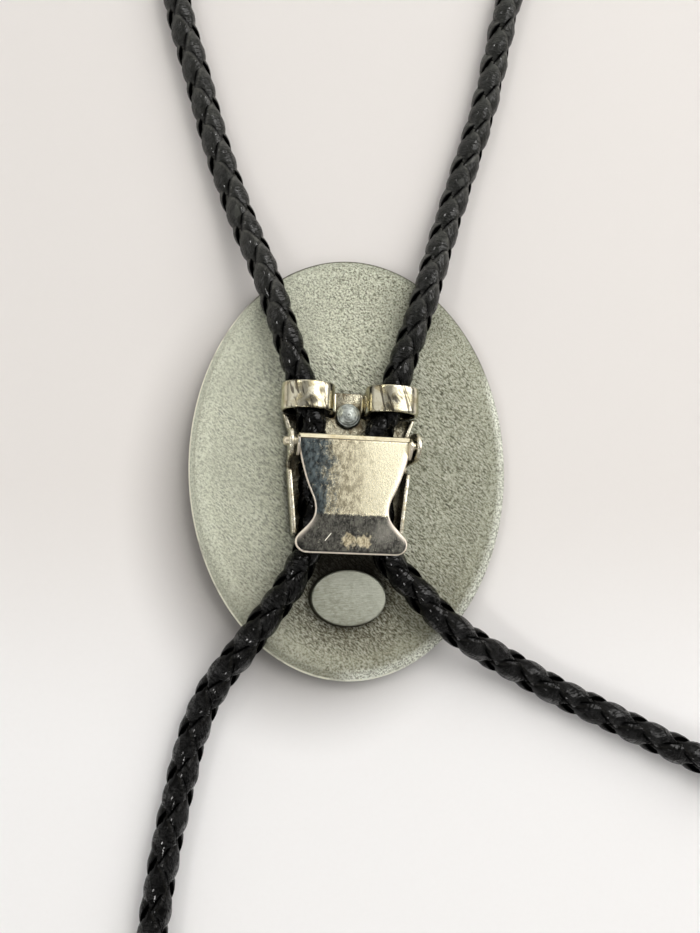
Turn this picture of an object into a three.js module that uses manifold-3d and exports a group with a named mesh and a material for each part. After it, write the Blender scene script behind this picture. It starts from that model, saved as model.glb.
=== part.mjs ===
// A bolo tie that lies face down: an oval cast medallion, a hinged cord slide on its back and a braided cord.
// Millimetres. +Z is up and +Y points from the medallion to the neck loop. The origin is on the resting
// surface, under the middle of the medallion. The slide's own frame starts on the rivet's axis, at the
// underside of its plate.

import * as THREE from "three";
import { mergeVertices } from "three/addons/utils/BufferGeometryUtils.js";
import Module from "manifold-3d";

const wasm = await Module();
wasm.setup();

// Medallion
const MEDALLION_WIDTH = 47.6;
const MEDALLION_LENGTH = 63.5;
const BACK_HEIGHT = 2.7; // level middle of the back
const DISH_BAND = 10; // sloping band between the edge and that middle
const RIM_RISE = 0.55; // crest of the rim above the middle
const FRONT_BAND = 9; // rounded band round the flat middle of the front
const FRONT_RISE = 1.6; // where the front's rounding meets the edge
const OVAL_SIDES = 72;

// Oval boss on the back
const BOSS_WIDTH = 10.9;
const BOSS_LENGTH = 8.05;
const BOSS_RISE = 1.9;
const BOSS_EDGE = 0.25;
const BOSS_X = -0.3;
const BOSS_Y = -19.8;

// Cord
const CORD_DIAMETER = 4.2;
const CORD_SIDES = 10;
const CORD_CLEARANCE = 0.05; // cord to the plate that it lies on

// Slide: where it sits and its sheet
const SLIDE_X = -0.45;
const SLIDE_Y = 7.03;
const SLIDE_TURN = THREE.MathUtils.degToRad(-1.3);
const SEAT_GAP = 0.25;
const SHEET = 0.7;

// Slide: plate and channel
const TAB_WIDTH = 4;
const TAB_TOP = 3.75; // from the rivet towards the neck
const CHEEK_WIDTH = 19.8; // across the cheeks, beside the rings
const CHEEK_TOP = -0.2;
const CHEEK_HEIGHT = 2.6;
const CHANNEL_WIDTH = 17.9; // across the walls at the hinge
const CHANNEL_END_WIDTH = 15.9; // across the walls at the lower mouth
const CHANNEL_END = -18.2;
const WALL_START = -8.8; // the walls start below the ears' notch
const WALL_HEIGHT = 4.5;
const WALL_RAMP = 0.8;

// Slide: cord rings
const RING_GAP = 4.6; // between the two rings
const RING_WIDTH = 7.9;
const RING_LENGTH = 4.1; // along the cord
const RING_CORNER = 2.65; // outer radius of its corners
const RING_FILLET = 0.8; // bend from the tab up into the ring
const RING_CLEARANCE = 0.3; // cord to the top of the ring
const RING_TAIL = 1.3; // tucked-in end, short of the ring's near side

// Hinge
const HINGE_Y = -5.15;
const NOSE_SWING = 1.6; // room that the nose needs over the cords
const EAR_LENGTH = 4.3;
const EAR_OVER_HINGE = 1.3;
const EAR_LEAN = 1; // the right ear leans out by this at its top
const PIN_DIAMETER = 1.3;
const PIN_CLEARANCE = 0.15;
const PIN_PROUD = 0.8;

// Lever
const LEVER_SHEET = 0.65;
const LEVER_SIDE_ROOM = 0.45; // between its edges and the ears
const LEVER_WAIST = 10.4;
const LIP_WIDTH = 16;
const LEVER_REACH = 15.75; // hinge to the end of the lip
const LIP_LENGTH = 5.6;
const LIP_RISE = THREE.MathUtils.degToRad(11);
const LIP_CORNER = 1.5;
const LEVER_DROP = 0.35; // top of the lever below the hinge's axis
const CREASE_REACH = 0.7; // hinge to the crease
const NOSE_REACH = 1.3; // hinge to the tip of the nose
const NOSE_DROP = 0.35; // tip of the nose below the top of the lever
const LUG_SHEET = 0.5;
const LUG_RADIUS = 1.05;
const LUG_LENGTH = 3.15;
const LUG_PROUD = 0.15; // lug outside the edge of the lever

// Rivet
const RIVET_HEAD_DIAMETER = 3.74;
const RIVET_HEAD_HEIGHT = 1.1;
const RIVET_SHANK_DIAMETER = 2;
const RIVET_DEPTH = 1; // shank below the plate
const RIVET_CLEARANCE = 0.15;

// Tips of the free ends
const TIP_LENGTH = 17;
const TIP_DIAMETER = 5.2;
const TIP_COLLAR = 4;
const TIP_END_DIAMETER = 3;
const TIP_GAP = 0.5;

const CURVE_STEPS = 8;
const ROUND_SIDES = 20;

// Heights in the slide's frame
const cordTop = SHEET + CORD_CLEARANCE + CORD_DIAMETER;
const hingeHeight = cordTop + NOSE_SWING;
const leverTop = hingeHeight - LEVER_DROP;
const leverBottom = leverTop - LEVER_SHEET;
const earTop = hingeHeight + EAR_OVER_HINGE;
const earLeanAtHinge = (EAR_LEAN * hingeHeight) / earTop;
const leverX = earLeanAtHinge / 2;
const leverWidth = CHANNEL_WIDTH + earLeanAtHinge - 2 * (SHEET + LEVER_SIDE_ROOM);

// The medallion's section: inset as a share of DISH_BAND, height over the middle as a share of RIM_RISE
const BACK_ROWS = [
  { inset: 0, height: -1.1 },
  { inset: 0.015, height: -0.2 },
  { inset: 0.05, height: 0.45 },
  { inset: 0.1, height: 0.85 },
  { inset: 0.17, height: 1 },
  { inset: 0.28, height: 0.88 },
  { inset: 0.46, height: 0.52 },
  { inset: 0.7, height: 0.16 },
  { inset: 1, height: 0 },
];
// Inset as a share of FRONT_BAND, height as a share of FRONT_RISE
const FRONT_ROWS = [
  { inset: 1, height: 0 },
  { inset: 0.67, height: 0.08 },
  { inset: 0.35, height: 0.27 },
  { inset: 0.14, height: 0.5 },
  { inset: 0.04, height: 0.74 },
  { inset: 0, height: 1 },
];

// The cords' routes, chosen by hand
const NECK_LOOP_ROUTE = [
  [-5.81, 0.15, 5.8],
  [-5.85, 3.6, 5.8],
  [-6.25, 6.3, 5.8],
  [-7.0, 9.2, 5.8],
  [-7.8, 12.0, 5.8],
  [-12.0, 24.7, 5.7],
  [-13.1, 27.9, 5.3],
  [-14.4, 31.4, 4.4],
  [-16.2, 36.0, 3.2],
  [-18.4, 42.0, 2.4],
  [-21.2, 50.3, 2.15],
  [-24.4, 61.7, 2.15],
  [-27.6, 73.3, 2.15],
  [-28.9, 87.0, 2.15],
  [-28.6, 103.5, 2.15],
  [-27.2, 121.0, 2.15],
  [-23.3, 138.0, 2.15],
  [-15.7, 152.2, 2.15],
  [-4.4, 161.9, 2.15],
  [9.8, 166.6, 2.15],
  [24.6, 165.1, 2.15],
  [37.2, 157.7, 2.15],
  [44.8, 146.0, 2.15],
  [46.3, 132.0, 2.15],
  [42.8, 118.3, 2.15],
  [36.9, 105.5, 2.15],
  [30.9, 92.2, 2.15],
  [26.3, 78.4, 2.15],
  [21.8, 59.4, 2.15],
  [18.0, 47.3, 2.2],
  [15.2, 38.6, 2.9],
  [13.2, 32.4, 4.2],
  [11.9, 28.3, 5.3],
  [10.8, 24.7, 5.7],
  [6.8, 13.0, 5.8],
  [5.6, 9.1, 5.8],
  [4.6, 6.2, 5.8],
  [3.8, 3.4, 5.8],
  [3.99, -0.07, 5.8],
];
const LEFT_END_ROUTE = [
  [-5.82, -0.15, 5.8],
  [-5.8, -5.0, 5.8],
  [-5.75, -10.3, 5.8],
  [-6.2, -12.2, 5.8],
  [-7.3, -14.9, 5.8],
  [-9.0, -18.2, 5.8],
  [-12.3, -22.8, 5.8],
  [-14.0, -25.2, 5.65],
  [-16.1, -28.0, 4.8],
  [-18.4, -31.0, 3.7],
  [-20.6, -34.9, 2.6],
  [-22.4, -40.2, 2.15],
  [-23.8, -46.6, 2.15],
  [-25.1, -53.0, 2.15],
  [-26.1, -59.5, 2.3],
  [-27.0, -67.0, 2.85],
];
const RIGHT_END_ROUTE = [
  [4.0, -0.37, 5.8],
  [4.0, -5.0, 5.8],
  [3.95, -10.6, 5.8],
  [4.4, -12.4, 5.8],
  [5.8, -14.9, 5.8],
  [8.9, -18.3, 5.8],
  [13.2, -22.7, 5.8],
  [15.5, -24.6, 5.5],
  [18.2, -26.3, 4.8],
  [21.3, -28.0, 3.7],
  [25.2, -30.0, 2.6],
  [31.1, -33.2, 2.15],
  [37.8, -36.3, 2.15],
  [44.6, -39.5, 2.15],
  [50.5, -42.2, 2.3],
  [55.6, -44.4, 2.85],
];
const NECK_LOOP_STEPS = 56;
const END_STEPS = 12;

// Solids and joins

function solidOf(geometry) {
  const bare = new THREE.BufferGeometry();
  bare.setAttribute("position", geometry.getAttribute("position"));
  bare.setIndex(geometry.index);
  const merged = mergeVertices(bare);
  const triVerts = new Uint32Array(merged.index.array);
  const vertProperties = merged.getAttribute("position").array;
  return new wasm.Manifold(new wasm.Mesh({ numProp: 3, vertProperties, triVerts }));
}

function geometryOf(solid) {
  const mesh = solid.getMesh();
  const geometry = new THREE.BufferGeometry();
  geometry.setAttribute("position", new THREE.BufferAttribute(mesh.vertProperties, 3));
  geometry.setIndex(new THREE.BufferAttribute(mesh.triVerts, 1));
  return geometry;
}

function joined(solids) {
  return solids.reduce((whole, solid) => whole.add(solid));
}

// An outline in x and y, raised along z
function slab(shape, bottom, height) {
  const geometry = new THREE.ExtrudeGeometry(shape, {
    depth: height,
    bevelEnabled: false,
    curveSegments: CURVE_STEPS,
  });
  return solidOf(geometry.translate(0, 0, bottom));
}

// An outline in y and z, run along x from start. Its x may follow y and z.
function sidePlate(shape, start, thickness, xPerY = 0, xPerZ = 0) {
  const geometry = new THREE.ExtrudeGeometry(shape, {
    depth: thickness,
    bevelEnabled: false,
    curveSegments: CURVE_STEPS,
  });
  const yzToX = new THREE.Matrix4().makeBasis(
    new THREE.Vector3(xPerY, 1, 0),
    new THREE.Vector3(xPerZ, 0, 1),
    new THREE.Vector3(1, 0, 0),
  );
  return solidOf(geometry.applyMatrix4(yzToX).translate(start, 0, 0));
}

// An outline in x and z, run along y from low to high
function crossPiece(shape, low, high) {
  const geometry = new THREE.ExtrudeGeometry(shape, { depth: high - low, bevelEnabled: false });
  return solidOf(geometry.rotateX(Math.PI / 2).translate(0, high, 0));
}

function polygon(points) {
  return new THREE.Shape(points.map(([u, v]) => new THREE.Vector2(u, v)));
}

// The outline of a bent strip of sheet along an open path
function stripOutline(path, thickness) {
  const line = path.getPoints(CURVE_STEPS);
  const left = [];
  const right = [];
  line.forEach((point, k) => {
    const before = line[Math.max(k - 1, 0)];
    const after = line[Math.min(k + 1, line.length - 1)];
    const along = after.clone().sub(before).normalize();
    const across = new THREE.Vector2(-along.y, along.x).multiplyScalar(thickness / 2);
    left.push(point.clone().add(across));
    right.push(point.clone().sub(across));
  });
  return new THREE.Shape([...left, ...right.reverse()]);
}

function turned(profile, sides = ROUND_SIDES) {
  return new THREE.LatheGeometry(
    profile.map(([radius, height]) => new THREE.Vector2(radius, height)),
    sides,
  );
}

function upright(profile) {
  return solidOf(turned(profile).rotateX(Math.PI / 2));
}

function rod(radius, bottom, top) {
  return upright([
    [0, bottom],
    [radius, bottom],
    [radius, top],
    [0, top],
  ]);
}

// Ovals stacked from the bottom outwards, up and back in to the top, each inset evenly from the full oval
function ovalStack(width, length, rows) {
  const positions = [];
  for (const { inset, height } of rows) {
    for (let k = 0; k < OVAL_SIDES; k += 1) {
      const angle = (2 * Math.PI * k) / OVAL_SIDES;
      const x = (width / 2 - inset) * Math.cos(angle);
      const y = (length / 2 - inset) * Math.sin(angle);
      positions.push(x, y, height);
    }
  }
  const bottomMiddle = rows.length * OVAL_SIDES;
  const topMiddle = bottomMiddle + 1;
  positions.push(0, 0, rows[0].height, 0, 0, rows.at(-1).height);
  const triangles = [];
  const topRow = (rows.length - 1) * OVAL_SIDES;
  for (let k = 0; k < OVAL_SIDES; k += 1) {
    const next = (k + 1) % OVAL_SIDES;
    triangles.push(bottomMiddle, next, k, topMiddle, topRow + k, topRow + next);
    for (let row = 0; row < topRow; row += OVAL_SIDES) {
      const above = row + OVAL_SIDES;
      triangles.push(row + k, row + next, above + next, row + k, above + next, above + k);
    }
  }
  const geometry = new THREE.BufferGeometry();
  geometry.setAttribute("position", new THREE.Float32BufferAttribute(positions, 3));
  geometry.setIndex(triangles);
  return solidOf(geometry);
}

// Medallion

function medallion() {
  const front = FRONT_ROWS.map(({ inset, height }) => ({
    inset: inset * FRONT_BAND,
    height: height * FRONT_RISE,
  }));
  const back = BACK_ROWS.map(({ inset, height }) => ({
    inset: inset * DISH_BAND,
    height: BACK_HEIGHT + height * RIM_RISE,
  }));
  const body = ovalStack(MEDALLION_WIDTH, MEDALLION_LENGTH, [...front, ...back]);
  const bossTop = BACK_HEIGHT + BOSS_RISE;
  const boss = ovalStack(BOSS_WIDTH, BOSS_LENGTH, [
    { inset: 0, height: BACK_HEIGHT / 2 },
    { inset: 0, height: bossTop - BOSS_EDGE },
    { inset: BOSS_EDGE, height: bossTop },
  ]).translate([BOSS_X, BOSS_Y, 0]);
  const boreRadius = RIVET_SHANK_DIAMETER / 2 + RIVET_CLEARANCE;
  const boreBottom = BACK_HEIGHT + SEAT_GAP - RIVET_DEPTH - RIVET_CLEARANCE;
  const bore = rod(boreRadius, boreBottom, BACK_HEIGHT + RIM_RISE).translate([SLIDE_X, SLIDE_Y, 0]);
  return body.add(boss).subtract(bore);
}

// Slide base

function plate() {
  const tab = TAB_WIDTH / 2;
  const cheek = CHEEK_WIDTH / 2;
  const wall = CHANNEL_WIDTH / 2;
  const mouth = CHANNEL_END_WIDTH / 2;
  const earStart = HINGE_Y + EAR_LENGTH / 2;
  const right = [
    [tab, TAB_TOP],
    [tab, CHEEK_TOP],
    [cheek, CHEEK_TOP],
    [wall, earStart],
    [wall, WALL_START],
    [mouth, CHANNEL_END],
  ];
  const left = right.map(([x, y]) => [-x, y]).reverse();
  return slab(polygon([...right, ...left]), 0, SHEET);
}

// A sheet ring that curls up from the tab, outwards over the cord and back under it
function ringStrip(side) {
  const half = SHEET / 2;
  const near = RING_GAP / 2 + half;
  const far = RING_GAP / 2 + RING_WIDTH - half;
  const top = cordTop + RING_CLEARANCE + half;
  const corner = RING_CORNER - half;
  const quarter = Math.PI / 2;
  const path = new THREE.Path();
  path.moveTo(TAB_WIDTH / 2 - SHEET, half);
  path.absarc(near - RING_FILLET, half + RING_FILLET, RING_FILLET, -quarter, 0, false);
  path.absarc(near + corner, top - corner, corner, 2 * quarter, quarter, true);
  path.absarc(far - corner, top - corner, corner, quarter, 0, true);
  path.absarc(far - corner, half + corner, corner, 0, -quarter, true);
  path.lineTo(near + RING_TAIL, half);
  const outline = stripOutline(path, SHEET).getPoints();
  return crossPiece(polygon(outline.map(({ x, y }) => [side * x, y])), 0, RING_LENGTH);
}

function cheek(side) {
  const earStart = HINGE_Y + EAR_LENGTH / 2;
  const outline = polygon([
    [earStart, 0],
    [CHEEK_TOP, 0],
    [CHEEK_TOP, CHEEK_HEIGHT],
    [earStart, CHEEK_HEIGHT],
  ]);
  const flare = (CHEEK_WIDTH - CHANNEL_WIDTH) / 2 / (CHEEK_TOP - earStart);
  const outer = side * (CHANNEL_WIDTH / 2 - flare * earStart);
  return sidePlate(outline, Math.min(outer, outer - side * SHEET), SHEET, side * flare);
}

function ear(side, lean) {
  const half = EAR_LENGTH / 2;
  const outline = new THREE.Shape();
  outline.moveTo(HINGE_Y + half, 0);
  outline.absarc(HINGE_Y, earTop - half, half, 0, Math.PI, false);
  outline.lineTo(HINGE_Y - half, 0);
  const outer = (side * CHANNEL_WIDTH) / 2;
  const start = Math.min(outer, outer - side * SHEET);
  return sidePlate(outline, start, SHEET, 0, (side * lean) / earTop);
}

function wall(side) {
  const outline = polygon([
    [CHANNEL_END, 0],
    [WALL_START + WALL_RAMP, 0],
    [WALL_START, WALL_HEIGHT],
    [CHANNEL_END, WALL_HEIGHT],
  ]);
  const taper = (CHANNEL_WIDTH - CHANNEL_END_WIDTH) / 2 / (WALL_START - CHANNEL_END);
  const outer = side * (CHANNEL_WIDTH / 2 - taper * WALL_START);
  return sidePlate(outline, Math.min(outer, outer - side * SHEET), SHEET, side * taper);
}

function pinBore(length) {
  const radius = PIN_DIAMETER / 2 + PIN_CLEARANCE;
  const bar = new THREE.CylinderGeometry(radius, radius, length, ROUND_SIDES);
  return solidOf(bar.rotateZ(Math.PI / 2).translate(0, HINGE_Y, hingeHeight));
}

function slideBase() {
  const parts = [plate()];
  for (const side of [-1, 1]) {
    const lean = side > 0 ? EAR_LEAN : 0;
    parts.push(ringStrip(side), cheek(side), ear(side, lean), wall(side));
  }
  const rivetHole = rod(RIVET_SHANK_DIAMETER / 2 + RIVET_CLEARANCE, -SHEET, 2 * SHEET);
  const acrossTheEars = 2 * (CHANNEL_WIDTH + EAR_LEAN);
  return joined(parts).subtract(rivetHole).subtract(pinBore(acrossTheEars));
}

// Lever

// Seen from above: wide at the hinge, waisted, and wide again at the lip
function leverPlan() {
  const end = HINGE_Y - LEVER_REACH;
  const nose = HINGE_Y + NOSE_REACH;
  const shoulder = HINGE_Y - LUG_LENGTH + LUG_RADIUS;
  const bend = end + LIP_LENGTH;
  const waist = bend + 0.15 * LIP_LENGTH;
  const neck = waist + 0.22 * (shoulder - waist);
  const wide = leverWidth / 2;
  const narrow = LEVER_WAIST / 2;
  const neckHalf = narrow + 0.22 * (wide - narrow);
  const lip = LIP_WIDTH / 2;
  const half = new THREE.Path();
  half.moveTo(wide, nose);
  half.lineTo(wide, shoulder);
  half.lineTo(neckHalf, neck);
  half.bezierCurveTo(
    narrow + 0.3 * (neckHalf - narrow),
    (neck + waist) / 2,
    narrow,
    neck - waist + bend,
    narrow,
    waist,
  );
  half.bezierCurveTo(
    narrow,
    end + 0.86 * LIP_LENGTH,
    narrow + 0.2 * (lip - narrow),
    end + 0.7 * LIP_LENGTH,
    narrow + 0.62 * (lip - narrow),
    end + 0.56 * LIP_LENGTH,
  );
  half.quadraticCurveTo(lip, end + 0.44 * LIP_LENGTH, lip, end + LIP_CORNER);
  half.quadraticCurveTo(lip, end, lip - LIP_CORNER, end);
  const right = half.getPoints(CURVE_STEPS).map(({ x, y }) => [x, y]);
  const left = right.map(([x, y]) => [-x, y]).reverse();
  return polygon([...right, ...left]);
}

// Seen from the side: the nose, the flat and the upturned lip
function leverSide() {
  const end = HINGE_Y - LEVER_REACH;
  const bend = end + LIP_LENGTH;
  const rise = LIP_LENGTH * Math.tan(LIP_RISE);
  const under = LEVER_SHEET / Math.cos(LIP_RISE);
  return polygon([
    [HINGE_Y + CREASE_REACH, leverTop],
    [bend, leverTop],
    [end, leverTop + rise],
    [end, leverTop + rise - under],
    [bend, leverBottom],
    [HINGE_Y + CREASE_REACH - NOSE_DROP / 2, leverBottom],
    [HINGE_Y + NOSE_REACH - NOSE_DROP, leverTop - 2 * NOSE_DROP],
    [HINGE_Y + NOSE_REACH, leverTop - NOSE_DROP],
  ]);
}

function lug(side) {
  const outline = new THREE.Shape();
  outline.moveTo(HINGE_Y + LUG_RADIUS, leverBottom);
  outline.absarc(HINGE_Y, hingeHeight, LUG_RADIUS, 0, 0.75 * Math.PI, false);
  outline.lineTo(HINGE_Y + LUG_RADIUS - LUG_LENGTH, leverTop);
  outline.lineTo(HINGE_Y + LUG_RADIUS - LUG_LENGTH, leverBottom);
  const outer = leverX + side * (leverWidth / 2 + LUG_PROUD);
  return sidePlate(outline, Math.min(outer, outer - side * LUG_SHEET), LUG_SHEET);
}

function hingePin(side) {
  const radius = PIN_DIAMETER / 2;
  const inner = leverWidth / 2 + LUG_PROUD - LUG_SHEET / 2;
  const earOuter = (CHANNEL_WIDTH + earLeanAtHinge) / 2;
  const length = earOuter + PIN_PROUD - inner;
  const pin = turned([
    [0, 0],
    [radius, 0],
    [radius, length - 0.5 * radius],
    [0.75 * radius, length - 0.12 * radius],
    [0, length],
  ]);
  pin.rotateZ((-side * Math.PI) / 2);
  return solidOf(pin.translate(leverX + side * inner, HINGE_Y, hingeHeight));
}

function lever() {
  const flat = slab(leverPlan(), 0, 2 * earTop).translate([leverX, 0, 0]);
  const bent = sidePlate(leverSide(), leverX - leverWidth, 2 * leverWidth);
  return joined([flat.intersect(bent), lug(-1), lug(1), hingePin(-1), hingePin(1)]);
}

// Rivet

function rivet() {
  const radius = RIVET_HEAD_DIAMETER / 2;
  const shank = RIVET_SHANK_DIAMETER / 2;
  const seat = SHEET + RIVET_CLEARANCE;
  const crown = seat + RIVET_HEAD_HEIGHT;
  return upright([
    [0, -RIVET_DEPTH],
    [shank, -RIVET_DEPTH],
    [shank, seat],
    [0.94 * radius, seat],
    [radius, seat + 0.12 * RIVET_HEAD_HEIGHT],
    [radius, seat + 0.38 * RIVET_HEAD_HEIGHT],
    [0.84 * radius, seat + 0.74 * RIVET_HEAD_HEIGHT],
    [0.54 * radius, seat + 0.94 * RIVET_HEAD_HEIGHT],
    [0.16 * radius, crown],
    [0, crown - 0.12 * RIVET_HEAD_HEIGHT],
  ]);
}

// Cords and tips

function cordGeometry(route, steps) {
  const section = new THREE.Shape();
  for (let k = 0; k < CORD_SIDES; k += 1) {
    const angle = (2 * Math.PI * k) / CORD_SIDES;
    const point = [(CORD_DIAMETER / 2) * Math.cos(angle), (CORD_DIAMETER / 2) * Math.sin(angle)];
    if (k === 0) {
      section.moveTo(...point);
    } else {
      section.lineTo(...point);
    }
  }
  const curve = new THREE.CatmullRomCurve3(route.map((point) => new THREE.Vector3(...point)));
  return new THREE.ExtrudeGeometry(section, { steps, bevelEnabled: false, extrudePath: curve });
}

function tipGeometry() {
  const radius = TIP_DIAMETER / 2;
  const end = TIP_END_DIAMETER / 2;
  return turned(
    [
      [0, 0],
      [0.94 * radius, 0],
      [radius, 0.06 * TIP_COLLAR],
      [radius, 0.94 * TIP_COLLAR],
      [0.88 * radius, TIP_COLLAR],
      [end, TIP_LENGTH - 0.7 * end],
      [0.7 * end, TIP_LENGTH - 0.15 * end],
      [0, TIP_LENGTH],
    ],
    CORD_SIDES + 4,
  );
}

// Materials

function metal(colour, roughness) {
  return new THREE.MeshStandardMaterial({ color: colour, roughness, metalness: 1 });
}

const pewter = metal(0x9c9f8f, 0.5);
const nickel = metal(0xcfc9b4, 0.22);
const steel = metal(0x9aa3a8, 0.3);
const tipMetal = metal(0xb9b7ac, 0.3);
const leather = new THREE.MeshStandardMaterial({ color: 0x1c1c1b, roughness: 0.5, metalness: 0 });

// Assembly

const boloTie = new THREE.Group();

function add(parent, name, geometry, material) {
  const mesh = new THREE.Mesh(geometry, material);
  mesh.name = name;
  parent.add(mesh);
  return mesh;
}

function addTip(name, route) {
  const end = new THREE.Vector3(...route.at(-1));
  const before = new THREE.Vector3(...route.at(-2));
  const along = end.clone().sub(before);
  const level = Math.hypot(along.x, along.y);
  along.z = (-level * (TIP_DIAMETER - TIP_END_DIAMETER)) / 2 / (TIP_LENGTH + TIP_COLLAR);
  along.normalize();
  const tip = add(boloTie, name, tipGeometry(), tipMetal);
  tip.quaternion.setFromUnitVectors(new THREE.Vector3(0, 1, 0), along);
  tip.position.copy(end.addScaledVector(along, TIP_GAP));
}

add(boloTie, "medallion", geometryOf(medallion()), pewter);

const slide = new THREE.Group();
slide.position.set(SLIDE_X, SLIDE_Y, BACK_HEIGHT + SEAT_GAP);
slide.rotation.z = SLIDE_TURN;
boloTie.add(slide);
add(slide, "clip_base", geometryOf(slideBase()), nickel);
add(slide, "rivet", geometryOf(rivet()), steel);
add(slide, "lever", geometryOf(lever()), nickel);

add(boloTie, "neck_loop", cordGeometry(NECK_LOOP_ROUTE, NECK_LOOP_STEPS), leather);
add(boloTie, "left_end", cordGeometry(LEFT_END_ROUTE, END_STEPS), leather);
add(boloTie, "right_end", cordGeometry(RIGHT_END_ROUTE, END_STEPS), leather);
addTip("left_tip", LEFT_END_ROUTE);
addTip("right_tip", RIGHT_END_ROUTE);

export default boloTie;
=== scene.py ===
# A bolo tie lying face down on a pale floor: the back of its cast medallion, its hinged cord slide and
# the braided cord. Metres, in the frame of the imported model.

import math

import bmesh
import bpy
import numpy as np
from mathutils import Matrix, Vector, noise


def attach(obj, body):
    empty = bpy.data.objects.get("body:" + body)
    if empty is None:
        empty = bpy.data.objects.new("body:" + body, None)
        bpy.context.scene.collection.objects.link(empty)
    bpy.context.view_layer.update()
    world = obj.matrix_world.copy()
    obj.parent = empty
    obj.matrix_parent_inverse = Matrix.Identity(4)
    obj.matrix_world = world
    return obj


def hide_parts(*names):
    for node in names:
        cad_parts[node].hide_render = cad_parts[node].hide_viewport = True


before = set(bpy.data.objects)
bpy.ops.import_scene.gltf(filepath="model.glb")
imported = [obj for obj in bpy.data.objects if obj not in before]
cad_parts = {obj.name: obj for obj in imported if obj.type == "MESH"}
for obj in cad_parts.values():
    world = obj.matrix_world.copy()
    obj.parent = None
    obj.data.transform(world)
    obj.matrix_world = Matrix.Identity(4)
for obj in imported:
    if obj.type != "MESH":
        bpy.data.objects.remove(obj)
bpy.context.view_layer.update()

MM = 0.001
scene = bpy.context.scene


# Camera and light

PHOTO_HEIGHT_PX = 933
FOCAL_PX = 1000
SENSOR_MM = 36
# The camera's place and its directions to the right and forward, fitted to the medallion's oval in the photo
CAMERA_PLACE = Vector((-0.019210, -0.023458, 0.148776))
CAMERA_RIGHT = Vector((0.991361, 0.003749, 0.131109))
CAMERA_FORWARD = Vector((0.128946, 0.155128, -0.979443))

SKY_BASE = 0.31
SKY_COLOUR = (1.0, 0.985, 0.96, 1)
# Brighter round patches of the sky: direction, half angle and softness in degrees, strength
SKY_PATCHES = [
    ((0.33, 0.27, 0.90), 17, 5, 0.8),
    ((0.10, 0.90, 0.45), 28, 8, 0.8),
    ((-0.80, 0.10, 0.60), 22, 8, 0.5),
    ((-0.55, -0.35, 0.75), 4, 1, 14.0),
    ((0.35, 0.50, 0.80), 3, 1, 14.0),
    ((-0.15, -0.65, 0.70), 4, 1, 12.0),
    ((-0.45, 0.45, 0.80), 4, 1, 12.0),
]
KEY_PLACE = (0.40, 0.26, 0.46)
KEY_SIZE = (0.60, 0.60)
KEY_POWER = 2.4
KEY_COLOUR = (1.0, 0.985, 0.965)


def linked(name, data):
    thing = bpy.data.objects.new(name, data)
    scene.collection.objects.link(thing)
    return thing


def make_camera():
    """A camera that sees the tie as the photo does."""
    data = bpy.data.cameras.new("camera")
    data.sensor_width = SENSOR_MM
    data.lens = FOCAL_PX * SENSOR_MM / PHOTO_HEIGHT_PX
    data.clip_start = 0.005
    data.clip_end = 20
    camera = linked("camera", data)
    forward = CAMERA_FORWARD.normalized()
    up = CAMERA_RIGHT.cross(forward).normalized()
    right = forward.cross(up)
    turn = Matrix((right, up, -forward)).transposed()
    camera.matrix_world = Matrix.Translation(CAMERA_PLACE) @ turn.to_4x4()
    scene.camera = camera


def key_light():
    """One large soft lamp, up behind the right of the picture."""
    data = bpy.data.lights.new("key", "AREA")
    data.shape = "RECTANGLE"
    data.size, data.size_y = KEY_SIZE
    data.energy = KEY_POWER
    data.color = KEY_COLOUR
    light = linked("key", data)
    light.location = KEY_PLACE
    light.rotation_euler = (-Vector(KEY_PLACE)).to_track_quat("-Z", "Y").to_euler()


def sky_patch(tree, direction, axis, half_angle, softness, strength):
    """Light from a round patch of the sky, with a soft edge."""
    nodes, links = tree.nodes, tree.links
    dot = nodes.new("ShaderNodeVectorMath")
    dot.operation = "DOT_PRODUCT"
    links.new(direction, dot.inputs[0])
    dot.inputs[1].default_value = Vector(axis).normalized()
    edge = nodes.new("ShaderNodeMapRange")
    edge.interpolation_type = "SMOOTHSTEP"
    links.new(dot.outputs["Value"], edge.inputs["Value"])
    edge.inputs["From Min"].default_value = math.cos(math.radians(half_angle + softness))
    edge.inputs["From Max"].default_value = math.cos(math.radians(half_angle - softness))
    edge.inputs["To Max"].default_value = strength
    return edge.outputs[0]


def make_light():
    """A dim even sky with brighter patches, and the lamp."""
    world = bpy.data.worlds.new("studio")
    scene.world = world
    world.use_nodes = True
    tree = world.node_tree
    direction = tree.nodes.new("ShaderNodeTexCoord").outputs["Generated"]
    total = None
    for patch in SKY_PATCHES:
        light = sky_patch(tree, direction, *patch)
        add = tree.nodes.new("ShaderNodeMath")
        tree.links.new(light, add.inputs[0])
        if total is None:
            add.inputs[1].default_value = SKY_BASE
        else:
            tree.links.new(total, add.inputs[1])
        total = add.outputs[0]
    background = tree.nodes["Background"]
    background.inputs["Color"].default_value = SKY_COLOUR
    tree.links.new(total, background.inputs["Strength"])
    key_light()
    scene.view_settings.view_transform = "Standard"


# Meshes

def mesh_object(name, verts, faces, sharp_angle, maps=None):
    """An object from vertices and faces. Maps hold an image coordinate for each vertex, by their names."""
    mesh = bpy.data.meshes.new(name)
    mesh.from_pydata([tuple(v) for v in verts], [], [tuple(f) for f in faces])
    loops = np.empty(len(mesh.loops), dtype=np.int32)
    mesh.loops.foreach_get("vertex_index", loops)
    for label, values in (maps or {}).items():
        layer = mesh.uv_layers.new(name=label)
        layer.data.foreach_set("uv", np.asarray(values, dtype=np.float32)[loops].ravel())
    return finish_mesh(name, mesh, sharp_angle)


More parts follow.
